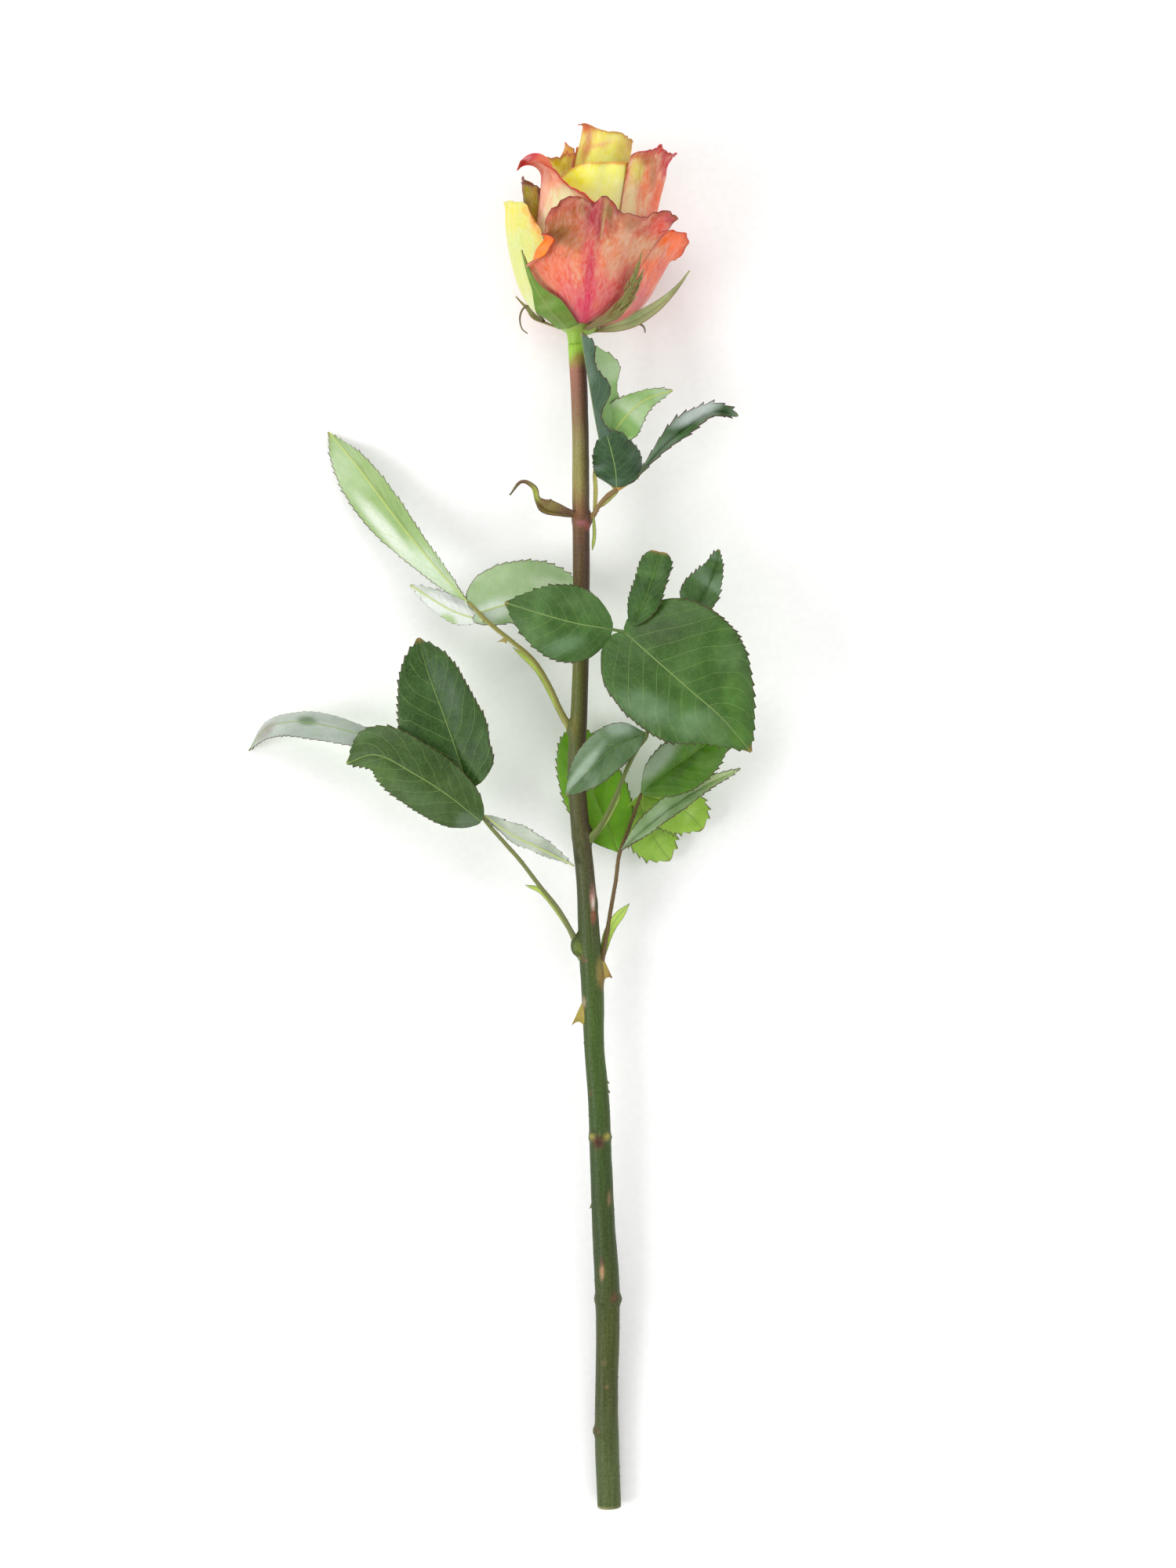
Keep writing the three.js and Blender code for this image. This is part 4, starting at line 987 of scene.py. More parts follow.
@dataclass
class Leaflet:
    """A toothed blade on a midrib. Its left and right are those of someone who looks at the upper side."""

    rib: Rows
    left: float
    right: float
    face: Rows = ((0, 0, 1), (0, 0, 1))
    outline: Outline = Outline.OVATE
    fold: float = 0
    curl: float = 0
    wave: tuple[float, float] = (0, 1)
    lobe: float = 0
    tooth: float = 0.62
    pitch: float = 2.3
    veins: int = 8
    relief: float = 0.26
    thick: float = 0.42
    # The colours of each side: plain, then those of darker and of lighter lumps. On some blades these carry
    # painted sheen, or a painted glow where light comes through.
    upper: str = "#38591a " + GREEN_LUMPS
    under: str = "#a3c887 #7fa868 #d9e6cc"
    tip: str = "#a9743c"
    margin: str = "#5c3a30"
    # Patches placed on the table: colour, painted sheen and painted shade.
    patches: Sequence[Patch] = ()
    # The outline of the right half, where it is not that of the left.
    right_outline: Outline | None = None
    seed: int = 1

    def rows_along(self) -> tuple[Array, Array]:
        """Space the rows of the blade.

        Returns:
            How far from base to tip each row is, and how far into its tooth.
        """
        length = np.linalg.norm(np.diff(through(self.rib, np.linspace(0, 1, 30)), axis=0), axis=1).sum()
        teeth = max(4, round(float(length) / self.pitch)) if self.tooth else 10
        phase = np.tile(TOOTH_STEPS, teeth)
        along = (np.repeat(np.arange(teeth), len(TOOTH_STEPS)) + phase) / teeth
        return np.append(along, 1.0) * 0.988 + 0.006, np.append(phase, 0.0)

    def middle(self) -> tuple[Array, ...]:
        """Shape the middle of the blade.

        Returns:
            The grid of places, its upward directions, the Flat map and the Vein map.
        """
        along, phase = self.rows_along()
        level = along[:, None]
        across = np.concatenate([-COLUMNS[:0:-1], COLUMNS])
        reach = np.abs(across)[None]
        sign = np.sign(across)[None]
        rib = through(self.rib, along)
        ahead = unit(through(self.rib, along + 0.02) - through(self.rib, along - 0.02))
        side = unit(np.cross(ahead, through(self.face, along)))
        up = np.cross(side, ahead)
        on_left = across[None] < 0
        halves = (self.outline, self.right_outline or self.outline)
        left, right = (profile(half.value, level) for half in halves)
        room = np.where(on_left, left, right)
        # The tip is drawn out to a short point.
        room = np.maximum(room * (1 - 0.4 * bell((1 - level) / 0.05)), 0.02)
        width = np.where(on_left, self.left, self.right) * reach * room
        # The teeth differ in size, lean forward, and fade at both ends of the blade.
        steps = len(TOOTH_STEPS)
        draw = np.random.default_rng(self.seed).uniform(0.45, 1.3, (len(along) // steps + 1, 2))
        size = np.repeat(draw, steps, axis=0)[:len(along)]
        size = np.where(on_left, size[:, :1], size[:, 1:])
        rise = np.clip(phase / TOOTH_STEPS[-1], 0, 1)[:, None] ** 1.4
        edge = np.clip((reach - 0.94) / 0.06, 0, 1)
        ends = np.clip(np.minimum(level / 0.06, (1 - level) / 0.05), 0, 1)
        jag = self.tooth * size * rise * edge * ends
        lobes = self.lobe * reach * np.clip(1 - level / 0.35, 0, 1) ** 2 * np.clip(level / 0.07, 0, 1) ** 0.7
        # The blade folds along the midrib, curls and waves, and rises in one low ridge for each side vein.
        bend = np.radians(self.fold + self.curl * reach / 2)
        height, count = self.wave
        roll = height * np.sin(2 * math.pi * (count * level + np.where(on_left, 0.5, 0))) * reach ** 2
        passed = (level - 0.3 * reach ** 1.15) * self.veins
        passed = passed + 0.35 * cloud(reach * 6 + 20 * on_left[0], level * 9, self.seed, 1.6) * reach
        pillow = np.abs(np.sin(math.pi * passed)) ** 0.6 * np.clip(reach * 5, 0, 1) * (1 - reach ** 4)
        relief = self.relief * (pillow * np.minimum(1, room * 1.5) - 0.9 * bell(width / 0.7))
        uneven = 0.18 * cloud(width * sign, level * 40, self.seed + 40, 5.0) * reach
        out = width + jag
        place = rib[:, None] + side[:, None] * (sign * out * np.cos(bend))[..., None]
        place = place + ahead[:, None] * (0.75 * jag - lobes)[..., None]
        place = place + up[:, None] * (out * np.sin(bend) + roll + relief + uneven)[..., None]
        place[..., 2] = np.maximum(place[..., 2], self.thick / 2)
        facing = np.broadcast_to(up[:, None], place.shape)
        # On its map every blade is 50 mm long. The count stays above 0 and is whole at each side vein.
        return place, facing, paired(width * sign, level * 50), paired(passed + 20.5, reach)

    def tints(self, place: Array, flat: Array) -> list[Array]:
        """Paint both sides: cloudy green with lighter and darker lumps, patches of colour, painted sheen and
        painted shade, and rusty at the tip.

        Args:
            place: The grid of places.
            flat: The Flat map.

        Returns:
            The colours of the upper side and of the underside.
        """
        x, y = flat[..., 0], flat[..., 1]
        sides = []
        for codes in (self.upper, self.under):
            plain, dark, light = codes.split()
            tint = np.broadcast_to(colour(plain), place.shape)
            tint = towards(tint, dark, 0.5 * np.clip(cloud(x, y, self.seed + 7, 6.0), 0, 1))
            tint = towards(tint, light, 0.5 * np.clip(cloud(x, y, self.seed + 8, 7.0), 0, 1))
            # Patches of colour, painted sheen and painted shade.
            tint = patched(tint, place[..., 0], place[..., 1], self.patches)
            # The last twentieth is the tip.
            sides.append(towards(tint, self.tip, np.clip((y - 47.4) / 2.2, 0, 1) ** 2 * 0.85))
        return sides

    def add_to(self, skin: Skin) -> None:
        """Add the blade, its upper side in the first material and its underside in the second.

        Args:
            skin: What it is added to.
        """
        place, facing, flat, vein = self.middle()
        tints = self.tints(place, flat)
        grid = place.shape[:2]
        edge = towards(tints[0], self.margin, np.full(grid, 0.8))
        skin.add_sheet(place, np.full(grid, self.thick), facing, tints, flat, vein, edge)


def wing(rib: Rows, left: float, right: float, upper: str = "#a9c24c") -> Leaflet:
    """Make a stipule: the narrow wing along the foot of a leaf stalk, drawn out to a free tip.

    Args:
        rib: The line that it follows.
        left: Its half width on the left.
        right: Its half width on the right.
        upper: The colour of its upper side.

    Returns:
        The stipule.
    """
    return Leaflet(rib, left, right, outline=Outline.WING, tooth=0.08, pitch=1.3, relief=0, thick=0.34,
                   upper=f"{upper} #8a8a3c #c4d870", under="#b9cc66 #7fa868 #d9e6cc", tip="#a87a44",
                   margin="#9a7a4c", veins=2)


@dataclass
class CompoundLeaf:
    """A leaf grown as one piece: its stalks, its stipules, its small prickles and its leaflets."""

    name: str
    node: str
    stalks: Sequence[Rod]
    leaflets: Sequence[Leaflet]
    prickles: Sequence[Prickle] = ()
    slot: str = "leaf_green"
    bristles: float = 60000

    def build(self, finishes: Finishes) -> Object:
        """Build and dress the leaf.

        Args:
            finishes: The materials of the flower.

        Returns:
            The leaf.
        """
        skin = Skin()
        for leaflet in self.leaflets:
            leaflet.add_to(skin)
        stems = Skin()
        for part in [*self.stalks, *self.prickles]:
            part.add_to(stems)
        if self.bristles:
            name = self.name + "_bristles"
            # Each is 0.25 mm thick at its foot and about 0.7 mm long.
            size = (0.12, 0.12, 0.7)
            bristles = Scatter(name, Shape.BRISTLE, self.bristles, size, -300, 300, 7, finishes.pore)
            stalk = stems.mesh(self.name + "_stalk", [])
            place_piece(name, bristles.over(stalk), self.node)
        skin.join(stems)
        mesh = skin.mesh(self.name, [finishes.leaf_upper, finishes.leaf_under, finishes.stalk])
        return place_piece(self.name, mesh, self.node)


# How a blade faces that shows its underside, at its base and at its tip.
DOWN: Rows = ((0, 0, -1), (0, 0, -1))


def upper_left_leaf() -> CompoundLeaf:
    """Describe the leaf at the upper left, which shows its underside.

    Returns:
        The leaf.
    """
    stalk = Rod(
        [[-4.3, 15.5, 18.4], [-8.5, 23, 19.2], [-12.6, 32, 20.8], [-17.8, 40.2, 21.5], [-25, 46.5, 21.5],
         [-32.6, 52.7, 21], [-39, 59.2, 20]],
        [1.7, 0.95, 0.8, 0.78, 0.74, 0.7, 0.6], top="#85803f", flank="#b2c455")
    stipule = wing([[-7.5, 19.5, 18.8], [-11.8, 30, 20.3], [-17, 38.6, 21.2], [-24.5, 44.5, 21.3]], 1.3, 0.4)
    # The whitish patches on this underside are painted sheen.
    tip = Leaflet(
        [[-39, 59.2, 20], [-48.6, 69.5, 17.5], [-61.6, 85.3, 13], [-75.5, 103.9, 7], [-86.3, 117, 0.6]], 4.4,
        9, [[0.1, 0.1, -1], [-0.25, 0.2, -0.95]], Outline.LATE, 10, wave=(0.7, 3),
        under="#9bb878 #84a660 #d9e6cc", seed=11,
        patches=[(-66, 83, 16, 2.4, "#e4ecdc", 0.85, -49), (-52, 70.5, 10, 4, "#d8e6d0", 0.7, -49),
                 (-70, 100, 12, 3, "#93b068", 0.7, -55)])
    # Its whitish patches are painted sheen.
    right = Leaflet(
        [[-35.6, 55.8, 20.4], [-23, 59.4, 16.5], [-9.8, 61.1, 13], [3, 60.7, 11]], 6, 13.5, DOWN,
        Outline.BROAD, 8, 8, (0.4, 2), 8, under="#a2bc8c #7fa868 #d9e6cc", seed=12,
        patches=[(-31, 56.4, 7, 3.4, "#dce8dc", 0.85, 20), (-10, 64.6, 8, 2.6, "#c4d4b4", 0.7, -10)])
    # Its near-white underside is painted sheen; the green patch is where the sheen stops.
    left = Leaflet(
        [[-33.6, 53, 20.6], [-44.8, 56.8, 17], [-58.3, 65.2, 13]], 5.5, 5, [[0, 0.3, -1], [0, 0.2, -1]],
        Outline.LANCE, 36, wave=(0.5, 2), under="#f0f5f0 #d4dfca #f8faf8", seed=13,
        patches=[(-46, 53.4, 3.4, 2.4, "#a4c474", 0.85, -20)])
    prickles = [
        Prickle([-26.4, 46.9, 21.4], [-29.6, 46, 21.2], 0.7, "#9a8a4c", "#6a4030"),
        Prickle([-17.4, 39.6, 21.4], [-18.6, 37, 21.2], 0.5, "#9ab04c", "#7a5a30")]
    return CompoundLeaf("upper_left_leaf", "leaf_upper_left", [stalk], [stipule, tip, right, left], prickles)


def lower_left_leaf() -> CompoundLeaf:
    """Describe the leaf at the lower left, with two dark blades and a folded one by the stem.

    Returns:
        The leaf.
    """
    stalk = Rod(
        [[-1.5, -57, 14.6], [-5.2, -49, 14.9], [-9.7, -41, 15.6], [-15.4, -33.8, 16.5], [-22, -25.1, 17.5],
         [-27.9, -18.4, 18], [-33.7, -11.5, 19], [-38.8, -2, 20], [-50.6, 5.1, 17.8], [-62.9, 11, 15]],
        [1.8, 1, 0.8, 0.72, 0.7, 0.68, 0.64, 0.6, 0.55, 0.5], top="#6c7040", flank="#8cab4c")
    stipule = wing(
        [[-4.4, -50.5, 14.8], [-9.4, -41.6, 15.6], [-15.2, -34.6, 16.4], [-20.4, -33, 16.5]], 1.1, 0.3)
    # Its pale grey underside is partly painted sheen.
    folded = Leaflet(
        [[-34, -10, 18.9], [-25.6, -16, 19.6], [-16, -20.8, 20.2], [-4.4, -26.6, 20.8]], 4.2, 4.6,
        [[0, 0.35, -1], [0, 0.3, -1]], Outline.LANCE, 46, wave=(0.6, 3), under="#c6cfc0 #7c8c74 #d9e6cc",
        upper="#38591a #5f8a5c #55803c", seed=21)
    tall = Leaflet(
        [[-38.8, -1.6, 20], [-42.8, 10.7, 21.3], [-47.1, 23, 22.5], [-51.6, 35.2, 23.3],
         [-55.2, 47.6, 22.6]],
        15, 13, [[-0.22, 0, 1], [-0.16, 0, 1]], Outline.TAPERED, 14, -10, (0.4, 2), 3,
        right_outline=Outline.SHOULDERED, upper="#2a4a12 #1a350a #47663a", seed=22,
        patches=[(-44.6, 30, 2.2, 9, "#3c5438", 0.8, 18), (-47.6, 37, 2.4, 6, "#33502c", 0.6, 25)])
    broad = Leaflet(
        [[-34.8, -12.2, 21.8], [-45, -3.9, 25.4], [-56, 3.2, 26.4], [-68.5, 9.4, 25], [-78.8, 6.6, 20]],
        10.4, 10.2, [[0, -0.18, 1], [-0.1, 0.1, 1]], Outline.BROAD, -4, -18, (0.5, 2), 3,
        right_outline=Outline.BLUNT, upper="#36501a #24400e #5a7448", tip="#7f8a3c", seed=23,
        patches=[(-39, -12.6, 4, 3.4, "#5a6e54", 0.85, -30), (-52, 8, 9, 2.4, "#24400c", 0.6, -30),
                 (-68, 4, 7, 3, "#48681c", 0.7, -20)])
    # Its grey-white upper side is painted sheen, and the green patch is the blade's own colour where the
    # sheen stops.
    tip = Leaflet(
        [[-62.9, 11, 15], [-77, 17, 15], [-94.1, 20.4, 12], [-105.6, 18.6, 7.5], [-112.9, 10.9, 0.4]], 5,
        5.4, [[-0.1, 0.55, 0.8], [-0.3, 0.45, 0.8]], fold=-22, wave=(0.3, 3),
        upper="#a7b1a6 #76877a #ced4ce", tooth=0.4, seed=24,
        patches=[(-92, 20.6, 3.4, 1.4, "#4c6a44", 0.8, -8), (-106, 17.4, 5, 1.6, "#8c7c78", 0.6, 40)])
    return CompoundLeaf("lower_left_leaf", "leaf_lower_left", [stalk], [stipule, folded, tall, broad, tip])


def front_right_leaf() -> CompoundLeaf:
    """Describe the leaf nearest the eye, with the broadest blade of the flower.

    Returns:
        The leaf.
    """
    stalks = [
        Rod(
            [[-1.2, -19.5, 17.4], [2.6, -15.5, 20.2], [5.6, -10.8, 23], [9, -3.6, 27.3], [12.6, 5, 31],
             [15.8, 11.3, 33.5], [19, 16.4, 35], [18.1, 27.6, 35.4], [14.5, 40.1, 35.4], [11.8, 48.7, 35.8]],
            [1.8, 1.1, 0.85, 0.74, 0.68, 0.64, 0.62, 0.62, 0.58, 0.5], top="#586428", flank="#7c9a34"),
        Rod([[11.8, 48.7, 35.4], [20.2, 49.4, 32.4], [28.3, 50.5, 30]], [0.7, 0.6, 0.55]),
        Rod([[11.8, 48.7, 35.6], [9, 49.2, 36], [5.4, 49.8, 36.2]], [0.6, 0.5, 0.45], top="#4f6a34")]
    stipule = wing(
        [[1.6, -18, 18.9], [4.9, -12.6, 22], [8.4, -6, 25.6], [10.4, -1, 28]], 0.5, 1.2, "#6f8c3c")
    # Its grey-green upper side and its pale patches are painted sheen.
    painted_sheen_blade = Leaflet(
        [[18.6, 16.4, 35.2], [8.8, 12.1, 34], [0, 3.8, 31], [-7.4, -3.9, 27]], 6.6, 7.4,
        [[-0.34, -0.1, 1], [-0.4, -0.1, 1]], fold=18, curl=-20, wave=(0.6, 2), tooth=0.4,
        upper="#4c6a40 #2f4a2c #94a890", seed=31,
        patches=[(-1.4, 5, 10, 1.6, "#a2b6a0", 0.85, 52), (10.4, 18.6, 5, 3, "#8ea290", 0.8, 10),
                 (3, 4.6, 8, 1.4, "#3c5a34", 0.6, 50)])
    # Its patches are painted sheen and painted shade.
    left = Leaflet(
        [[7.8, 49.5, 36.2], [-3.2, 51.2, 37.5], [-15, 54.4, 36.5], [-27, 58.4, 32]], 13, 11.8,
        outline=Outline.OVATE, fold=-2, curl=-18, wave=(0.4, 2), lobe=2, upper="#365a1c #24480e #55803c",
        seed=32,
        patches=[(-7, 44.6, 7, 2.6, "#5f8258", 0.8, 15), (-16.4, 48.6, 5, 3, "#4a702e", 0.7, -20),
                 (-2, 57, 6, 2.4, "#4a6c34", 0.6, -10), (2.4, 46, 3, 5, "#2c5210", 0.6)])
    # Its patches are painted sheen and painted shade.
    broad = Leaflet(
        [[11.8, 48.4, 36.2], [22.5, 38.7, 40.5], [32.4, 29.9, 42], [42.4, 21.2, 41], [52.4, 10, 36]], 24, 19,
        outline=Outline.BROAD, fold=3, curl=-16, wave=(0.8, 2), lobe=10, veins=10,
        upper="#375c1a #294a10 #55803c", seed=33,
        patches=[
            (19, 24.4, 10, 4.6, "#63825c", 0.85, -22), (33.6, 19.4, 7, 4.4, "#66885a", 0.85, 20),
            (13, 38.6, 7, 8, "#30501a", 0.7), (22.6, 48, 9, 4.4, "#33481f", 0.8),
            (46.6, 28, 4, 9, "#4a7624", 0.7), (44.4, 40.4, 5, 5, "#547a3c", 0.6),
            (48, 15.6, 3, 4, "#4c7a20", 0.7), (31, 38, 5, 7, "#4a6c32", 0.6, -30),
            (41.4, 17.4, 4, 4, "#587e40", 0.6)])
    strap = Leaflet(
        [[13.5, 49.8, 36], [17.6, 57.6, 36.5], [20.6, 66.2, 35], [23, 74.6, 32.5]], 5.2, 5,
        [[-0.3, 0.1, 1], [-0.2, 0.2, 1]], Outline.STRAP, 10, -20, (0.5, 2), upper="#2a4f12 #1c3c0a #55803c",
        seed=34)
    # Its pale grey lumps are painted sheen.
    small = Leaflet(
        [[32.2, 53, 29.6], [38, 62, 28.4], [41.2, 69.6, 25.6], [42.6, 76.2, 22]], 8, 4.6,
        [[0.1, 0.1, 1], [0.1, 0.1, 1]], Outline.EARLY, 20, wave=(0.5, 2), upper="#40662c #1f3f0c #9ab49c",
        tip="#d3c45c", seed=35)
    return CompoundLeaf(
        "front_right_leaf", "leaf_front_right", stalks, [stipule, painted_sheen_blade, left, broad, strap, small])


def rear_right_leaf() -> CompoundLeaf:
    """Describe the leaf behind the stem at the right, painted bright green where light comes through it.

    Returns:
        The leaf.
    """
    stalk = Rod(
        [[3.6, -60.4, 14.2], [4.9, -56, 14.8], [6.2, -48.5, 14.4], [7.9, -38.5, 14.5], [9.2, -30.8, 15],
         [10.2, -23.1, 15.5], [12.8, -15.9, 15.5], [15.1, -9.7, 15], [17.4, -3.1, 15]],
        [1.2, 0.85, 0.72, 0.68, 0.66, 0.66, 0.64, 0.6, 0.52], top="#614c2c", flank="#86803c")
    stipule = wing(
        [[4.4, -58, 14.2], [6.2, -50, 14], [8.8, -44.8, 14.6], [13.6, -39, 15.2]], 1.4, 1.5, "#a3c646")
    # Painted light: its bright lime green stands for light that comes through the blade.
    crossing = Leaflet(
        [[10, -22.4, 15.2], [5.4, -11.6, 12], [0.3, 0.5, 10.3], [-3.4, 12.6, 9], [-4.4, 20.4, 8.4]], 9.6, 11,
        fold=6, curl=-8, wave=(0.4, 2), upper="#66a00c #4a7c0c #96c42c", seed=41)
    # Its grey-green upper side, pale tip and pale patch are painted sheen.
    folded = Leaflet(
        [[10.4, -22, 17.6], [20.8, -12.8, 17.2], [34.6, -2.8, 16.4], [50, 5.2, 15.4]], 4.2, 3.6,
        [[-0.2, 0.25, 1], [-0.1, 0.2, 1]], Outline.LANCE, 34, wave=(0.6, 3), upper="#7f9c68 #5c8048 #b8ccac",
        tip="#d4dcb0", seed=42, patches=[(44, 3.6, 10, 4, "#c2d69c", 0.9, 30)])
    # Its pale grey patch is painted sheen.
    tip = Leaflet(
        [[17.2, -3.4, 15.1], [25.6, 3.8, 17], [33.2, 9.2, 18], [40.4, 14.3, 18], [47.6, 19.2, 17]], 8.4, 10,
        fold=18, wave=(0.4, 2), upper="#4c7a14 #33600e #7c9c5c", seed=43,
        patches=[(23, 8, 10, 3, "#9cae94", 0.85, 48), (31, 5, 8, 1.4, "#3c5a20", 0.6, 45)])
    # Painted light: its bright green stands for light that comes through the blade.
    right = Leaflet(
        [[17.2, -3.6, 12.8], [25.7, -5.9, 10.5], [33, -9.8, 8], [38, -15, 6]], 7.6, 8.4,
        outline=Outline.ROUND, fold=4, wave=(0.4, 2), upper="#98c240 #7ca42c #bcdc74", tooth=1, seed=44)
    # Painted light: its bright green stands for light that comes through the blade.
    low = Leaflet(
        [[16.8, -3.8, 12.7], [18.5, -11.6, 9.5], [22.2, -18.6, 6.5], [27.2, -25.4, 4.4]], 8, 8,
        outline=Outline.ROUND, fold=4, wave=(0.4, 2), upper="#90bc3c #7ca42c #bcdc74", tooth=1.1, seed=45)
    return CompoundLeaf(
        "rear_right_leaf", "leaf_rear_right", [stalk], [stipule, crossing, folded, tip, right, low])


def upper_leaf() -> CompoundLeaf:
    """Describe the small leaf below the bloom, with a tall blade that stands on its edge.

    Returns:
        The leaf.
    """
    stalks = [
        Rod(
            [[-1.6, 84.6, 23.4], [1.6, 87, 24.2], [3.8, 90.3, 26], [6.6, 93.1, 27.5], [9.4, 95, 28.5]],
            [1.6, 0.95, 0.75, 0.9, 0.8], top="#7a6038", flank="#a39a48"),
        Rod([[9.4, 95, 28.5], [12.6, 96.9, 28.6], [15.9, 99, 28]], [0.8, 0.6, 0.5], top="#a9803c"),
        Rod([[9, 94.9, 28.4], [6.8, 99, 27.4], [4.8, 105.2, 29]], [0.8, 0.6, 0.6]),
        Rod([[7.2, 98, 27.6], [7, 105, 27.4], [6.8, 112.4, 28]], [0.6, 0.5, 0.5])]
    tall_stipule = wing([[1.9, 86.6, 24.4], [2.4, 94.2, 26], [1.9, 102.4, 27]], 0.5, 0.6, "#b8903c")
    low_stipule = wing([[1.6, 87.6, 24.6], [2, 81.2, 25.2], [1.4, 75.6, 25.4]], 0.5, 0.4, "#93984a")
    short_stipule = wing([[3.4, 89.4, 25.8], [6.4, 92, 27.4], [10.4, 95.8, 28.6]], 0.8, 0.8, "#8f8a44")
    curled = Leaflet(
        [[9.2, 95, 28.8], [8.8, 101, 31], [7.4, 107.2, 32], [5.4, 114.6, 31.4]], 7, 9.6,
        outline=Outline.ROUND, fold=-8, curl=-30, wave=(2, 2.5), tooth=0.4, upper="#2c4c2c #1c341a #788e80",
        seed=51)
    bright = Leaflet(
        [[6.4, 110.6, 28.6], [12.1, 118.3, 29], [18.7, 124, 28], [27.4, 127.4, 25]], 6.4, 6.8, DOWN,
        Outline.EARLY, 6, wave=(0.7, 2), tooth=0.4, under="#8ab466 #7fa868 #d9e6cc", seed=52)
    standing = Leaflet(
        [[4.8, 104.6, 29], [2.6, 114.7, 31.5], [0, 129.5, 33.5], [-2.6, 145, 36]], 12, 5.2,
        [[-1, 0.15, 0.15], [-1, 0.15, 0.15]], Outline.LATE, -64, wave=(1.5, 3), tooth=0.4,
        upper="#3c5640 #24402a #6e8878", under="#8cb56c #7fa868 #d9e6cc", seed=53)
    # Its pale grey patch near the tip is painted sheen.
    tip = Leaflet(
        [[15.7, 98.9, 28], [25.3, 109.5, 28], [33.9, 116.5, 27], [41.1, 120.3, 25], [49, 119.6, 22]], 4.2,
        3.4, [[-0.1, 0.3, 1], [-0.1, 0.3, 1]], Outline.LANCE, 38, wave=(0.8, 2), tooth=1, pitch=3.6,
        upper="#305424 #1f3f0c #b4c4b4", tip="#8a8a6c", seed=54,
        patches=[(35, 119.6, 9, 2.2, "#c6d0cc", 0.85, 28)])
    return CompoundLeaf(
        "upper_leaf", "leaf_upper", stalks,
        [tall_stipule, low_stipule, short_stipule, curled, bright, standing, tip])


def bract_leaf() -> CompoundLeaf:
    """Describe the brown bract below the bloom, a single blade whose tip curls over.

    Returns:
        The leaf.
    """
    blade = Leaflet(
        [[-3, 86.6, 23.4], [-8.6, 87.4, 25.4], [-14.2, 88.6, 27], [-16.7, 91.8, 28], [-17.7, 95.4, 28],
         [-21.5, 97.5, 27], [-25.4, 93.4, 25]],
        1.4, 4.2, [[0, 0.1, 1], [0.3, 0, 1]], Outline.BRACT, 30, wave=(0.4, 2), tooth=0, veins=5, thick=0.5,
        upper="#6c4634 #54322e #a8a444", under="#a9a44c #7fa868 #d9e6cc", tip="#5a2f2c", margin="#6a3a2c",
        patches=[(-17, 93.4, 1.6, 2.6, "#a4b040", 0.85, 10)], seed=61)
    return CompoundLeaf("bract_leaf_dressed", "leaf_bract", [], [blade], slot="bract_skin", bristles=0)


# The head.


def head_way(turn: Array) -> Array:
    """Give the direction away from the head's axis, for degrees from the front to the right."""
    angle = np.radians(turn)[..., None]
    return HEAD_SIDE * np.sin(angle) + HEAD_FRONT * np.cos(angle)


def head_place(turn: Array, height: Array, out: Array) -> Array:
    """Find a place on the head.

    Args:
        turn: Degrees from the front to the right.
        height: How far up the axis.
        out: How far from the axis.

    Returns:
        The place.
    """
    return HEAD_BASE + HEAD_AXIS * height[..., None] + head_way(turn) * out[..., None]


def rolled(grid: Array, outward: Array, reach: Array, angle: Array, swing: Array | float = 0.0,
           tight: float = 1.0) -> Array:
    """Roll the last rows of a sheet outwards.

    Args:
        grid: The places, by row and column, the rim in the last row.
        outward: The direction on the outer side at each place.
        reach: For each column, how much of its length is rolled.
        angle: For each column, the turn at the rim in degrees.
        swing: For each column, how far the roll leans to the right in degrees.
        tight: The share of the reach in which the turn is made.

    Returns:
        The new places.
    """
    steps = np.diff(grid, axis=0)
    size = np.linalg.norm(steps, axis=-1)
    left = np.flip(np.cumsum(np.flip(size, axis=0), axis=0), axis=0) - size / 2
    bend = np.radians(angle) * np.clip((reach - left) / np.maximum(reach * tight, 1e-6), 0, 1)
    way = unit(steps)
    middle = (outward[1:] + outward[:-1]) / 2
    normal = unit(middle - way * (middle * way).sum(axis=-1, keepdims=True))
    lean = np.broadcast_to(np.radians(swing), normal.shape[:2])[..., None]
    normal = normal * np.cos(lean) + np.cross(way, normal) * np.sin(lean)
    turned = (way * np.cos(bend)[..., None] + normal * np.sin(bend)[..., None]) * size[..., None]
    return np.concatenate([grid[:1], grid[:1] + np.cumsum(turned, axis=0)])


@dataclass(frozen=True)
class PetalPaint:
    """The colours of one side of a petal: from foot to rim, then soft patches placed on the head.

    The mottle is its colour, strength and size. The streak is its colour and strength.
    """

    base: str
    mottle: tuple[str, float, float] = ("#ffffff", 0.0, 3.0)
    streak: tuple[str, float] = ("#ffffff", 0.0)
    patches: Sequence[Patch] = ()
    rim: str = "#8a3a30"
    rim_width: float = 0.4
    rim_strength: float = 0.8


YELLOW_INSIDE = PetalPaint("#e8ea9c #f0ee84 #f4ec6c #f4de60 #f0b458", ("#f4c878", 0.2, 3.0), rim="#d0583c")


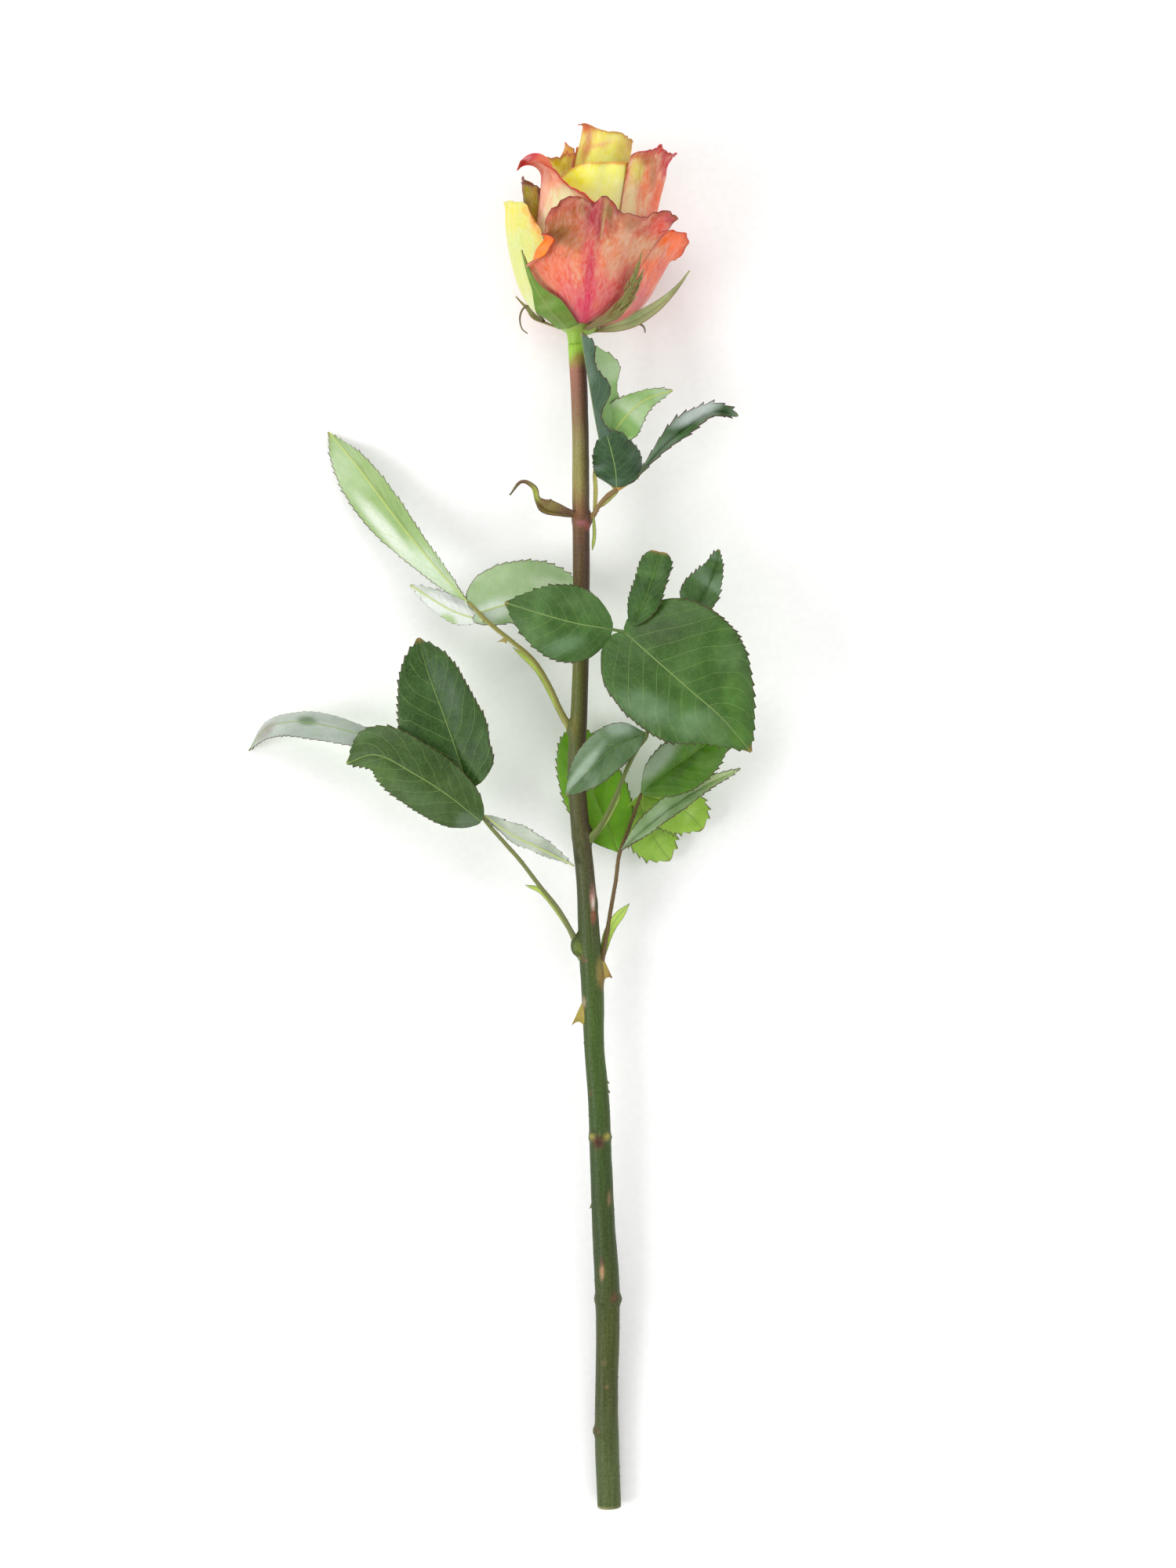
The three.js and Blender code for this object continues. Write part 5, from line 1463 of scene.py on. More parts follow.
@dataclass
class Petal:
    """A petal as a curved sheet round the axis of the head.

    Each row from foot to rim is its height, its distance from the axis, how many degrees it reaches round
    the head before and after its middle, and how far those two edges stand out.
    """

    turn: float
    rows: Rows
    outer: PetalPaint
    inner: PetalPaint = YELLOW_INSIDE
    rim: Numbers = (0, 0)
    flare: Numbers = (0, 0)
    ruffle: tuple[float, float] = (0.5, 3)
    frill: float = 0.3
    notches: Rows = ()
    pleats: Rows = ()
    curl: Numbers = (0, 0)
    swing: Numbers = (0, 0)
    curl_reach: float = 6
    lip: Numbers = (25, 25)
    lip_reach: float = 1.2
    # A part of the left margin that is folded over: its middle and half height as shares of the petal, how
    # wide it is, its turn, and how many degrees further round the head it starts.
    left_roll: tuple[float, float, float, float, float] = (0, 1, 0, 0, 0)
    columns: int = 64
    steps: int = 56
    seed: int = 1

    def middle(self) -> tuple[Array, ...]:
        """Shape the middle of the petal.

        Returns:
            The grid of places, the outward directions, how far up and how far across each place is, and the
            Flat map.
        """
        across = np.linspace(-1, 1, self.columns)[None]
        up = (1 - (1 - np.linspace(0, 1, self.steps)) ** 1.5)[:, None]
        height, out, before, after, first, second = np.moveaxis(through(self.rows, up), -1, 0)
        # The part that is folded over starts further round the head.
        centre, half, reach, left_angle, more = self.left_roll
        level = np.exp(-((up - centre) / half) ** 4)
        before = before + more * level
        turn = self.turn + across * np.where(across < 0, before, after)
        span = (across + 1) / 2
        edge = up ** 4
        arc = np.radians(turn - self.turn) * out
        # The margins stand out. Waves, flares, notches and pleats grow towards the rim.
        stand = np.where(across < 0, first, second) * np.abs(across) ** 1.3
        ruffle = self.ruffle[0] * np.sin(math.pi * self.ruffle[1] * across + self.turn) * edge
        flare = profile(self.flare, span) * up ** 7
        lift = profile(self.rim, span) * edge
        for at, wide, rise in self.notches:
            lift = lift + rise * bell((span - at) / wide) * up ** 9
        crease = 0.0
        for at, wide, depth in self.pleats:
            crease = crease + depth * bell((span - at) / wide) * np.clip((up - 0.55) / 0.45, 0, 1)
        # The rim is ragged by tenths of a millimetre, and the whole sheet is faintly rippled.
        lift = lift + self.frill * cloud(arc, up * 0, self.seed, 1.5) * up ** 14
        shiver = self.frill * 1.3 * cloud(arc, height, self.seed + 3, 2.6) * up ** 6
        ripple = 0.22 * cloud(arc, height * 0.3, self.seed + 5, 3.5) * np.clip(up * 2, 0, 1)
        place = head_place(turn, height + lift, out + stand + ruffle + flare + crease + shiver + ripple)
        outward = head_way(turn)
        # The rim curls outwards, then its last millimetres roll over as a lip.
        columns = np.linspace(0, 1, self.columns)
        curl, swing, lip = (profile(values, columns) for values in (self.curl, self.swing, self.lip))
        place = rolled(place, outward, np.full(self.columns, self.curl_reach), curl, swing)
        place = rolled(place, outward, np.full(self.columns, self.lip_reach), lip)
        # The left margin is rolled in the same way, with rows and columns exchanged.
        if reach:
            flipped = np.swapaxes(place[:, ::-1], 0, 1)
            guide = np.swapaxes(outward[:, ::-1], 0, 1)
            share = level[:, 0]
            turned = rolled(flipped, guide, reach * np.maximum(share, 0.05), left_angle * share, 0.0, 0.45)
            place = np.swapaxes(turned, 0, 1)[:, ::-1]
        # It rests on the table.
        place[..., 2] = np.maximum(place[..., 2], 0.3)
        wide = np.radians(np.max(before + after)) * np.max(out) / 2
        return place, outward, up, across, paired(across * wide, height)

    def tint(self, paint: PetalPaint, place: Array, up: Array, across: Array, flat: Array) -> Array:
        """Paint one side of the petal.

        Args:
            paint: The colours of that side.
            place: The places of the petal.
            up: How far each is from foot to rim.
            across: How far each is from one margin to the other, from -1 to 1.
            flat: The Flat map.

        Returns:
            The colour of each place.
        """
        from_base = place - HEAD_BASE
        aside = from_base @ HEAD_SIDE
        above = from_base @ HEAD_AXIS
        x, y = flat[..., 0], flat[..., 1]
        tint = np.broadcast_to(blend(paint.base, up + 0.05 * cloud(x, y, self.seed + 21, 5.0)), place.shape)
        code, amount, size = paint.mottle
        lumps = 0.6 * cloud(x, y * 0.6, self.seed + 22, size)
        lumps = lumps + 0.5 * cloud(x, y * 0.7, self.seed + 23, size / 2.4)
        tint = towards(tint, code, amount * np.clip(lumps * 1.8, 0, 1))
        code, amount = paint.streak
        lines = cloud(x, y * 0.12, self.seed + 24, 1.5) + 0.6 * cloud(x, y * 0.2, self.seed + 25, 0.8)
        tint = towards(tint, code, amount * np.clip(lines * 1.4, 0, 1))
        for n, patch in enumerate(paint.patches):
            ragged = 1 + 0.4 * cloud(x, y, self.seed + 30 + n, 2.2)
            far = np.sqrt(spread(patch, aside, above)) * ragged
            tint = towards(tint, patch[4], patch[5] * np.exp(-far ** 2.6))
        to_rim = (1 - up) * (y.max() - y.min())
        to_side = (1 - np.abs(across)) * np.abs(x).max()
        near = np.minimum(to_rim, to_side + 40 * np.clip(0.55 - up, 0, 1))
        ragged = 1 + 0.5 * cloud(x, y, self.seed + 50, 1.3)
        return towards(tint, paint.rim, paint.rim_strength * np.exp(-near * ragged / paint.rim_width))

    def add_to(self, skin: Skin) -> None:
        """Add the petal, its outer side in the first material and its inner side in the second.

        Args:
            skin: What it is added to.
        """
        place, outward, up, across, flat = self.middle()
        sides = [self.tint(paint, place, up, across, flat) for paint in (self.outer, self.inner)]
        thick = np.broadcast_to(0.62 - 0.3 * up ** 2, place.shape[:2])
        edge = towards(sides[0], self.outer.rim, np.full(place.shape[:2], self.outer.rim_strength))
        skin.add_sheet(place, thick, outward, sides, flat, np.zeros_like(flat), edge)


# For each petal the solid that it stands for, its slot and its shape.
Whorl = list[tuple[str, str, Petal]]


def outer_petals() -> Whorl:
    """Describe the outer petals.

    Returns:
        For each petal the solid that it stands for, its slot and its shape.
    """
    front_outside = PetalPaint(
        "#e86880 #ea7070 #ea8068 #e68a68 #da8660 #cc7c5c #c06c54", ("#e2b68e", 0.7, 2.2), ("#d65f68", 0.45),
        rim="#7c3430", rim_width=0.35,
        patches=[
            (-9.6, 13, 6, 9, "#ee8264", 0.75, 20), (-13.6, 8, 3.4, 5, "#f2b490", 0.75, 25),
            (-3.7, 6, 5, 6, "#e8787a", 0.6), (7, 10, 4, 8, "#dc7270", 0.6, -15),
            (-6.7, 33, 5, 3.4, "#b4624e", 0.9), (-11.4, 30, 2.6, 3, "#c4584e", 0.8),
            (-7.6, 25, 5.2, 4.8, "#8c5828", 0.95), (-4, 22, 3, 3, "#a87050", 0.6),
            (-8.4, 28.6, 4, 2, "#b8785c", 0.5), (1.4, 26, 3.4, 3.4, "#c07868", 0.7),
            (2.4, 2, 2.4, 14, "#dc4a68", 0.85), (2.4, 16, 2, 9, "#cc4458", 0.8),
            (-1.6, 32.2, 1.6, 2.6, "#a87a58", 0.85, 12), (1.8, 30.8, 3.1, 4.6, "#a83848", 0.95, -12),
            (4.6, 25.8, 2.2, 2.2, "#b04450", 0.7), (1.4, 35, 1.2, 1.6, "#7c3040", 0.8),
            (5.1, 31, 0.42, 5.2, "#cdb47c", 1, -3), (6.9, 31.6, 1, 3.6, "#7f6434", 0.95),
            (9, 33.4, 1.8, 2.6, "#a04a4e", 0.8), (8.2, 28, 2.4, 3, "#b46858", 0.6),
            (13.4, 30.4, 2.8, 2.4, "#b08264", 0.75), (15, 22.6, 4, 2.6, "#d8aa8c", 0.75, 28),
            (10, 17.5, 3.6, 2.4, "#d4a484", 0.75, 35), (19, 24.8, 2.4, 2.2, "#d8a484", 0.7, 30),
            (12.4, 26, 2.6, 1.5, "#dab094", 0.65, 40), (7.4, 21.5, 2.4, 1.5, "#d4a488", 0.65, 40),
            (22.6, 31.6, 3.8, 3.2, "#e8645e", 0.85, 30), (26.6, 33.8, 2, 1.6, "#c04650", 0.9),
            (17.4, 28.6, 3, 1.6, "#cc6c64", 0.6, 35), (14, 13, 3, 5, "#cc6460", 0.6, -20),
            (9, 6.6, 3.2, 3.6, "#d86c70", 0.6), (8.2, 0.9, 3.2, 1.3, "#eae2a8", 0.95),
            (5.4, -0.2, 1.4, 1.2, "#e8dcae", 0.8), (-2, 0.4, 2.4, 2, "#e05c88", 0.6)])
    front = Petal(
        8,
        [[0, 6.5, 20, 20, 0, 0], [3.5, 14, 40, 36, 0.6, 0.9], [10, 20, 53, 39, 1, 1.2],
         [17.5, 23.6, 50, 39, 2, 1.2], [24, 25.2, 38, 45, 1, 1.4], [30, 26.2, 37, 53, 0.6, 1.6],
         [35, 27.2, 32, 60, 0.4, 1.6]],
        rim=[-3.1, -2.7, -0.3, 0.7, 1.4, 1.4, 1.2, 0.8, 0.4, 0.2, 0.1, 0.9, 1.5, 2, 0.2, -1.7, -2.1, -2.2,
             -2.3, -1.2, 0.4, 1.5, 1.9, 1.2, 0.4],
        flare=[0, 0, 0, 0, 0, 0, 0.5, 1.2, 1.2], ruffle=(0.5, 4), frill=0.45,
        notches=[(0.055, 0.012, -0.7), (0.41, 0.02, -0.4), (0.6, 0.012, -0.7), (0.72, 0.012, -0.4),
                 (0.86, 0.012, -0.5), (0.94, 0.014, -0.6)],
        pleats=[(0.41, 0.025, -1.1), (0.49, 0.018, 0.9), (0.535, 0.02, -1.2), (0.68, 0.05, 0.7),
                (0.84, 0.04, -0.9)],
        left_roll=(0.54, 0.13, 7.2, 185, 8), columns=110, steps=96, seed=101, outer=front_outside,
        inner=PetalPaint(
            "#e8d888 #f0c868 #f4a05c #f4823c #f07438 #d84a34", ("#f69a54", 0.5, 3), rim="#cc4a34",
            patches=[(-17, 22, 4, 7, "#e85c38", 0.8), (-14, 16, 4, 4, "#f8903c", 0.8)]))
    right_outside = PetalPaint(
        "#ea8a8c #ea8a80 #ee8c78 #f28868 #fa8250 #fa7c50", ("#eebaa0", 0.6, 2.8), ("#d05c68", 0.45),
        rim="#cc5040",
        patches=[(29.5, 30, 3.4, 3.6, "#ff7e4c", 0.9), (22.4, 23.7, 3.4, 2, "#dcae90", 0.7, 40),
                 (25.6, 19.6, 2.6, 3, "#dc6e6c", 0.6), (18.6, 9.6, 3, 4, "#dc848c", 0.7, -20)])
    right = Petal(
        80,
        [[0, 6.5, 20, 20, 0, 0], [3.5, 15, 36, 36, -2, 0.8], [10, 20.8, 40, 42, -2, 0.8],
         [17, 24.2, 41, 42, -2.6, 0.8], [24, 27.6, 38, 38, -5, 0.6], [30, 31, 29, 32, -6, 0]],
        rim=[-1.5, 2, 2.8, 2, 0.5, -3], ruffle=(0.3, 4), curl=[30, 40, 45, 50, 45, 35], curl_reach=5,
        seed=111, outer=right_outside,
        inner=PetalPaint("#e8d080 #ecc470 #f0a060 #f47c50 #f27450", ("#f2a880", 0.4, 2.4), rim="#cc4c3c"))
    rear_right = Petal(
        142,
        [[0, 6.5, 20, 20, 0, 0], [3.5, 14.6, 34, 36, -1.8, 0.6], [10, 19.6, 40, 44, -1.8, 0.7],
         [19, 23, 40, 44, -1.8, 0.8], [28, 25, 36, 42, -2.2, 0.8], [35, 26, 30, 38, -2.2, 0.8]],
        rim=[-3, 0, 1, 0, 1, -2], curl=[20, 30, 25, 20], seed=121,
        outer=PetalPaint("#d8828a #e08a7c #e28270 #de7662 #d0645a", ("#e2b89c", 0.6, 3), ("#cc5c66", 0.4)))
    rear_left = Petal(
        202,
        [[0, 6.5, 20, 20, 0, 0], [3.5, 14.5, 32, 34, -2.5, 0.8], [10, 19.6, 42, 42, -2.2, 0.8],
         [19, 23.2, 44, 42, -2, 0.8], [28, 25.2, 42, 40, -2.2, 0.9], [36, 26.4, 34, 34, -2.2, 0.9]],
        rim=[-2, 1, 0, 1, 0, -3], curl=[15, 30, 20, 25], seed=131,
        outer=PetalPaint("#dc8a88 #e2947e #e28870 #da7862 #c86454", ("#e6c09c", 0.6, 3.2), ("#d06068", 0.4)))
    left_outside = PetalPaint(
        "#d8dfa8 #d9df9c #dbdf90 #dddf82 #e2dc74 #e4dc72", ("#d4dc98", 0.6, 3.6), ("#e6e6a8", 0.3),
        rim="#dcd480", rim_width=0.4, rim_strength=0.5,
        patches=[(-16.4, 29, 2.2, 4.4, "#f09c58", 0.9, 28), (-18.6, 33.4, 2.6, 2, "#ecb868", 0.85, 30),
                 (-25, 34, 3, 3, "#e8de62", 0.7), (-21, 22, 3, 7, "#d4dc92", 0.6),
                 (-14.6, 4.6, 3, 3, "#e4ecb8", 0.7)])
    left = Petal(
        272,
        [[0, 6.5, 20, 20, 0, 0], [3.5, 15, 34, 38, -1.4, -1.4], [10, 20.2, 44, 48, -1.4, -1.8],
         [20, 24.2, 44, 53, -1.8, -2.6], [29, 26.4, 40, 50, -2.4, -3.4], [36.5, 27.4, 32, 44, -2.6, -3.4]],
        rim=[-3, -2, -1.2, -0.8, -0.4, -0.2, 0, -0.1, -0.5, -1, -1.6, -3.8, -8.5], ruffle=(0.3, 4),
        lip=[10, 12, 12, 20, 35], seed=141, columns=80, outer=left_outside,
        inner=PetalPaint("#dfe08c #e8e070 #eed85c #ecb050 #e08a4a", rim="#c86a3c"))
    return [
        ("petal_front", "petal_coral", front), ("petal_right", "petal_orange", right),
        ("petal_rear_right", "petal_coral", rear_right), ("petal_rear_left", "petal_coral", rear_left),
        ("petal_left", "petal_yellow", left),
    ]


def middle_petals() -> Whorl:
    """Describe the middle petals.

    Returns:
        For each petal the solid that it stands for, its slot and its shape.
    """
    curled_outside = PetalPaint(
        "#e4e8b0 #e4e6aa #e4dea2 #e8d6a4 #eecaa4 #f0a888 #e87c62", ("#f2e8c4", 0.5, 2.4), ("#ecb098", 0.45),
        rim="#cc5440", rim_width=0.7,
        patches=[
            (-16.2, 36, 2.2, 9, "#e6a896", 0.85), (-8, 37, 4.4, 5, "#dfe2ac", 0.85),
            (-12.4, 28, 3, 5, "#e6e4b0", 0.7), (-16, 44.6, 2.6, 3.6, "#e69c88", 0.8),
            (-14.6, 49.6, 3.4, 2.6, "#f0a070", 0.85), (-12, 46, 2, 4, "#e89a78", 0.7, 20),
            (-23.4, 46.4, 3.4, 3.4, "#b4344a", 0.9)])
    curled_inside = PetalPaint(
        "#e8e27c #ece06c #f0c070 #f2a268 #ea7a50", ("#e46450", 0.5, 2.4), rim="#b2303c", rim_width=1.3,
        patches=[(-22.8, 46.6, 4, 3.6, "#b8344c", 0.95, -10), (-19.4, 49.6, 2.6, 1.6, "#cc4a60", 0.85, 20),
                 # The pale pink spot on the crimson tip is a painted highlight.
                 (-21.6, 48, 1.4, 0.9, "#f0b8b0", 0.8, 20), (-16, 49, 2.6, 2, "#e87862", 0.6)])
    curled = Petal(
        -30,
        [[0, 4.6, 18, 18, 0, 0], [4, 11, 24, 32, 0.4, 0.4], [12, 16.6, 24, 46, 0.6, 0.6],
         [24, 19.6, 22, 50, 0.6, 0.6], [36, 20.2, 21, 50, 0.4, 0.6], [45, 20.2, 21, 48, 0.2, 0.6]],
        rim=[9, 12, 12.5, 12, 8.5, 3, 0.6, -2.6, -4.4, -5.8, -8.2, -10, -12],
        flare=[2, 1, 0.6, 0.6, 0.6, 0.6, 0], curl=[150, 155, 160, 160, 120, 40, 15, 10, 10, 10, 10, 10, 10],
        swing=[-42, -42, -36, -26, -10, 0, 0], curl_reach=11, lip=[30, 40, 60, 150, 170, 170, 150],
        lip_reach=1.3, columns=90, steps=84, seed=201, outer=curled_outside, inner=curled_inside)
    striped_outside = PetalPaint(
        "#f0e8bc #f2e4ba #f2dcb4 #f2d2ac #eebc98 #e49272 #cc685c", ("#f6e4bc", 0.6, 2), ("#ea7a60", 0.5),
        rim="#b83a48", rim_width=0.4, rim_strength=0.6,
        patches=[
            (12.6, 36, 3, 12, "#e8e0a8", 0.85), (14, 48.6, 2.4, 3.6, "#d6cc5c", 0.8),
            (21.4, 43, 2.6, 9, "#f47850", 0.9, -12), (23.8, 52.6, 2.6, 3.4, "#d04458", 0.9),
            (17.4, 52.4, 3.2, 1.7, "#b07a48", 0.6), (18.6, 49, 1.4, 3.4, "#a8784c", 0.6),
            (13, 53, 2.4, 1, "#cc7848", 0.8, 12), (17, 43.6, 0.9, 7, "#f08860", 0.7, -3),
            (15, 40, 0.5, 6, "#e89478", 0.5), (19.4, 38, 0.8, 7, "#ea7c60", 0.7, -8)])
    striped = Petal(
        58,
        [[0, 4.6, 18, 18, 0, 0], [4.4, 11.4, 26, 30, -1.6, 0.8], [14, 17, 25, 42, -2.4, 0.8],
         [27, 19.8, 23, 46, -3.2, 0.8], [41, 21, 21.5, 44, -3.9, 0.8], [54, 22.4, 21.5, 34, -3.4, 0.8]],
        rim=[-0.2, 1, 1.6, 2, 2.6, 3, 3.2, 3.4, 3.4, 3.6, 4, 4.6, 4], flare=[0, 0.4, 0.8, 1.2, 0.8],
        notches=[(0.45, 0.018, 1.6), (0.34, 0.03, -0.6), (0.62, 0.03, -0.5)], curl=[15, 25, 30, 45, 30],
        curl_reach=5, lip=[60, 60, 50, 40, 40], columns=80, steps=70, seed=211, outer=striped_outside,
        inner=PetalPaint("#e8e27c #ece06c #f0cc60 #ee9458 #d8544c", rim="#b03a40"))
    inner_right = Petal(
        120,
        [[0, 4.6, 18, 18, 0, 0], [4, 11, 30, 32, -1.2, 0.7], [12, 16, 38, 40, -1.2, 0.7],
         [24, 19, 40, 42, -1.2, 0.7], [36, 20, 38, 40, -1.2, 0.7], [47, 20.4, 32, 32, -1.2, 0.7]],
        rim=[-3, 0, 1, -1, -4], curl=[30, 50, 60, 40], seed=221,
        outer=PetalPaint("#e8e2b4 #eadcb0 #eccca8 #e8ac88 #dc8064", ("#f0dcac", 0.5, 3), ("#e4806c", 0.5)))
    inner_rear = Petal(
        180,
        [[0, 4.6, 18, 18, 0, 0], [4, 11, 32, 32, -1.2, 0.7], [12, 16, 40, 38, -1.2, 0.7],
         [24, 19, 42, 38, -1.2, 0.7], [35, 20, 40, 36, -1.2, 0.7], [44, 20.2, 32, 30, -1.2, 0.7]],
        rim=[-3, 1, 0, 1, -4], curl=[25, 40, 50, 40], seed=231,
        outer=PetalPaint("#e6e49c #ece48c #eed884 #eeb06c #e0744e", ("#f0e8a0", 0.5, 3.4), ("#ea8a64", 0.5)))
    olive_outside = PetalPaint(
        "#d8d888 #ccc858 #beb440 #a89438 #9a7438 #8a5c40", ("#a8a434", 0.5, 2.6), ("#8a5a2c", 0.4),
        rim="#6c2f2c", rim_width=0.6,
        patches=[(-20.6, 40.6, 1.4, 3, "#a0a028", 0.9), (-18, 41, 1.6, 4, "#9a6428", 0.85),
                 (-23.2, 42.6, 1.4, 3, "#8c4c48", 0.9), (-18.2, 35.6, 2, 4, "#b8a028", 0.8)])
    olive = Petal(
        254,
        [[0, 4.6, 18, 18, 0, 0], [4, 11.2, 34, 30, -1.4, -1.2], [12, 16.6, 44, 40, -2.2, -1.2],
         [24, 19.8, 46, 46, -2.8, -1.4], [35, 21.8, 44, 50, -4, -3.2], [45, 23.6, 36, 46, -4.4, -4]],
        rim=[-4, 0, 0.8, -1.9, -3.9], ruffle=(0.3, 4), notches=[(0.62, 0.03, -1.5), (0.53, 0.03, 1.2)],
        pleats=[(0.66, 0.03, -1.2), (0.78, 0.05, 0.9)], seed=241, columns=80, steps=70, outer=olive_outside,
        inner=PetalPaint("#e0dc80 #dccc5c #d4b048 #c48a3c #a05e38", rim="#7c3a30"))
    return [
        ("petal_curled", "petal_cream", curled), ("petal_striped", "petal_coral", striped),
        ("petal_inner_right", "petal_cream", inner_right), ("petal_inner_rear", "petal_yellow", inner_rear),
        ("petal_olive", "petal_olive", olive),
    ]


def inner_petals() -> Whorl:
    """Describe the inner petals.

    Returns:
        For each petal the solid that it stands for, its slot and its shape.
    """
    front_outside = PetalPaint(
        "#eaeebc #eef0b2 #f2f2a4 #f5f388 #f6f476", ("#eaf0a2", 0.5, 4), ("#f8f6b4", 0.3), rim="#ee9c50",
        rim_width=0.35, rim_strength=0.75,
        patches=[(-5.6, 43.4, 5, 4.4, "#f8f44c", 0.85, -20), (4, 44, 4, 4, "#f0f290", 0.6),
                 (9.6, 39.6, 4, 5, "#eeeeb0", 0.8), (6.6, 50.4, 2.6, 0.7, "#f4b060", 0.8, -4),
                 (-1, 36, 4, 4, "#ecf29c", 0.6)])
    front = Petal(
        10,
        [[0, 3, 16, 16, 0, 0], [4, 7.6, 36, 36, 0.6, 0.6], [12, 12.2, 56, 54, 0.8, 0.8],
         [24, 14.8, 60, 56, 0.8, 0.8], [37, 15.8, 54, 50, 0.8, 0.8], [48, 16.6, 44, 42, 0.6, 0.8]],
        rim=[-4, -0.5, 1, 1.9, 2.5, 3, 2.5], frill=0.2, lip=[20, 20, 30, 60, 60, 40, 30], seed=301,
        columns=80, steps=66, outer=front_outside)
    left_outside = PetalPaint(
        "#e4e6a0 #e4e68c #e2e074 #d8cc5c #d8b450", ("#b8ae48", 0.5, 2), ("#c88c4c", 0.4), rim="#b84c40",
        rim_width=0.6,
        patches=[(-8.4, 53.4, 2.2, 2.4, "#e4a03c", 0.85), (-6.9, 50, 1.6, 2.6, "#b49a34", 0.8),
                 (-12.6, 53.6, 1.6, 1.2, "#c2503c", 0.8), (-10.8, 49.6, 2.4, 2.6, "#d8cc44", 0.8)])
    left = Petal(
        268,
        [[0, 3, 16, 16, 0, 0], [4, 7.6, 36, 36, 0.6, -0.9], [12, 12, 54, 50, 0.8, -0.9],
         [24, 14, 56, 60, 0.8, -0.9], [38, 14.8, 52, 66, 0.8, -0.9], [50, 15.4, 44, 67, 0.6, -0.9]],
        rim=[0, 0.6, 1, -1, 0.6, 2.2, 2.6], flare=[1, 0, 1.5, 0, 0.5], frill=0.7,
        notches=[(0.66, 0.02, -1.6), (0.82, 0.02, -1.4), (0.9, 0.015, 1.2), (0.5, 0.03, -1.2)],
        pleats=[(0.7, 0.03, 0.8), (0.8, 0.03, -0.9)], seed=311, columns=80, steps=66, outer=left_outside)
    rear = Petal(
        150,
        [[0, 3, 16, 16, 0, 0], [4, 7.6, 36, 36, -0.9, -0.6], [12, 12, 60, 56, -1, -0.8],
         [24, 14, 64, 58, -1, -0.8], [38, 14.8, 58, 56, -1, -0.8], [51, 15, 50, 50, -1, -0.8]],
        rim=[-1, 2, 0, 2, -2], seed=321,
        outer=PetalPaint("#e6e8a0 #ebe68c #eee47c #ecc85c #e48a4c", ("#ece67c", 0.5, 3.4), ("#e8a868", 0.4)))
    return [
        ("petal_yellow_front", "petal_yellow", front), ("petal_yellow_left", "petal_yellow", left),
        ("petal_yellow_rear", "petal_yellow", rear),
    ]


def heart_petals() -> list[Petal]:
    """Describe the petals rolled up in the middle of the head.

    Returns:
        The petals, from the outermost to the innermost.
    """
    wrapped = PetalPaint(
        "#eef0b0 #eef0a0 #f0f090 #f0f07c #f2ea70 #f2e670", ("#eaf274", 0.5, 3), ("#f4e484", 0.3),
        rim="#c07c50", rim_width=0.35,
        patches=[
            (0.4, 56, 4, 0.8, "#f0b080", 0.7, 22), (-3, 54.4, 1.5, 4.4, "#d27e56", 0.8, -10),
            (-2.6, 59, 1.6, 2.4, "#d89c78", 0.7), (5, 52, 5, 2.2, "#eaf284", 0.8),
            (4.4, 58.6, 3, 1.2, "#f6e49c", 0.6), (10.6, 58.8, 1.4, 1.4, "#c88a54", 0.6),
            (-3.6, 61.6, 2.4, 1.4, "#d0584c", 0.9), (10.4, 51, 1.4, 3, "#c4d050", 0.8)])
    plain = PetalPaint("#eaec9c #eeec84 #f0e66c #eed45c #e6a44c", ("#dcc454", 0.3, 2.4), rim="#b8543a")
    wrapping = Petal(
        10,
        [[0, 1.8, 40, 40, 0, 0], [10, 6.4, 70, 60, 0, 0.4], [24, 9, 75, 72, -0.4, 0.8],
         [42, 10.1, 54, 84, -0.4, 0.8], [60, 10.4, 35, 84, 0, 0.8]],
        ruffle=(0.2, 3), rim=[3.9, 3.4, 1.8, 0.9, 0.9, 1, 0.9, 0.6, 0.2], flare=[0.2, 0, 0, 0, 0, 0],
        curl=[150, 120, 30, 0, 0, 0, 0, 0, 0], swing=[-60, -50, -20, 0, 0, 0, 0], curl_reach=2.6, columns=80,
        steps=60, seed=401, outer=wrapped,
        inner=PetalPaint("#ece67c #eee06c #f0c864 #ee8c48 #d0483c", rim="#b83c34"))
    rear = Petal(
        165,
        [[0, 1.8, 40, 40, 0, 0], [10, 5.6, 70, 70, -0.6, 0.4], [24, 8.2, 78, 76, -0.6, 0.4],
         [42, 8.9, 78, 74, -0.6, 0.4], [58, 8.8, 66, 64, -0.6, 0.4]],
        rim=[0, 1.5, 0, 1.4, 0], seed=411, outer=plain)
    left = Petal(
        272,
        [[0, 1.8, 40, 40, 0, 0], [10, 6, 54, 50, 0.6, -0.4], [24, 8.6, 60, 50, 0.6, -0.6],
         [40, 9.8, 58, 46, 0.6, -0.6], [55, 10.6, 50, 40, 0.6, -0.6]],
        rim=[0, 2, -2, 2, 0], seed=421, outer=plain)
    right_core = Petal(
        60, [[24, 5.6, 90, 90, -0.9, 0.9], [40, 6.6, 100, 100, -0.9, 0.9], [57, 6.2, 90, 96, -0.9, 0.9]],
        ruffle=(0.2, 3), rim=[0, 1.2, 0, 0.8, 0], seed=431, columns=48, steps=40, outer=plain)
    core = Petal(
        240, [[24, 3.6, 90, 90, -0.7, 0.7], [40, 4.3, 100, 100, -0.7, 0.7], [56, 4, 90, 96, -0.7, 0.7]],
        ruffle=(0.2, 3), rim=[0, 1.2, 0, 0.8, 0], seed=441, columns=48, steps=40, outer=plain)
    return [wrapping, rear, left, right_core, core]


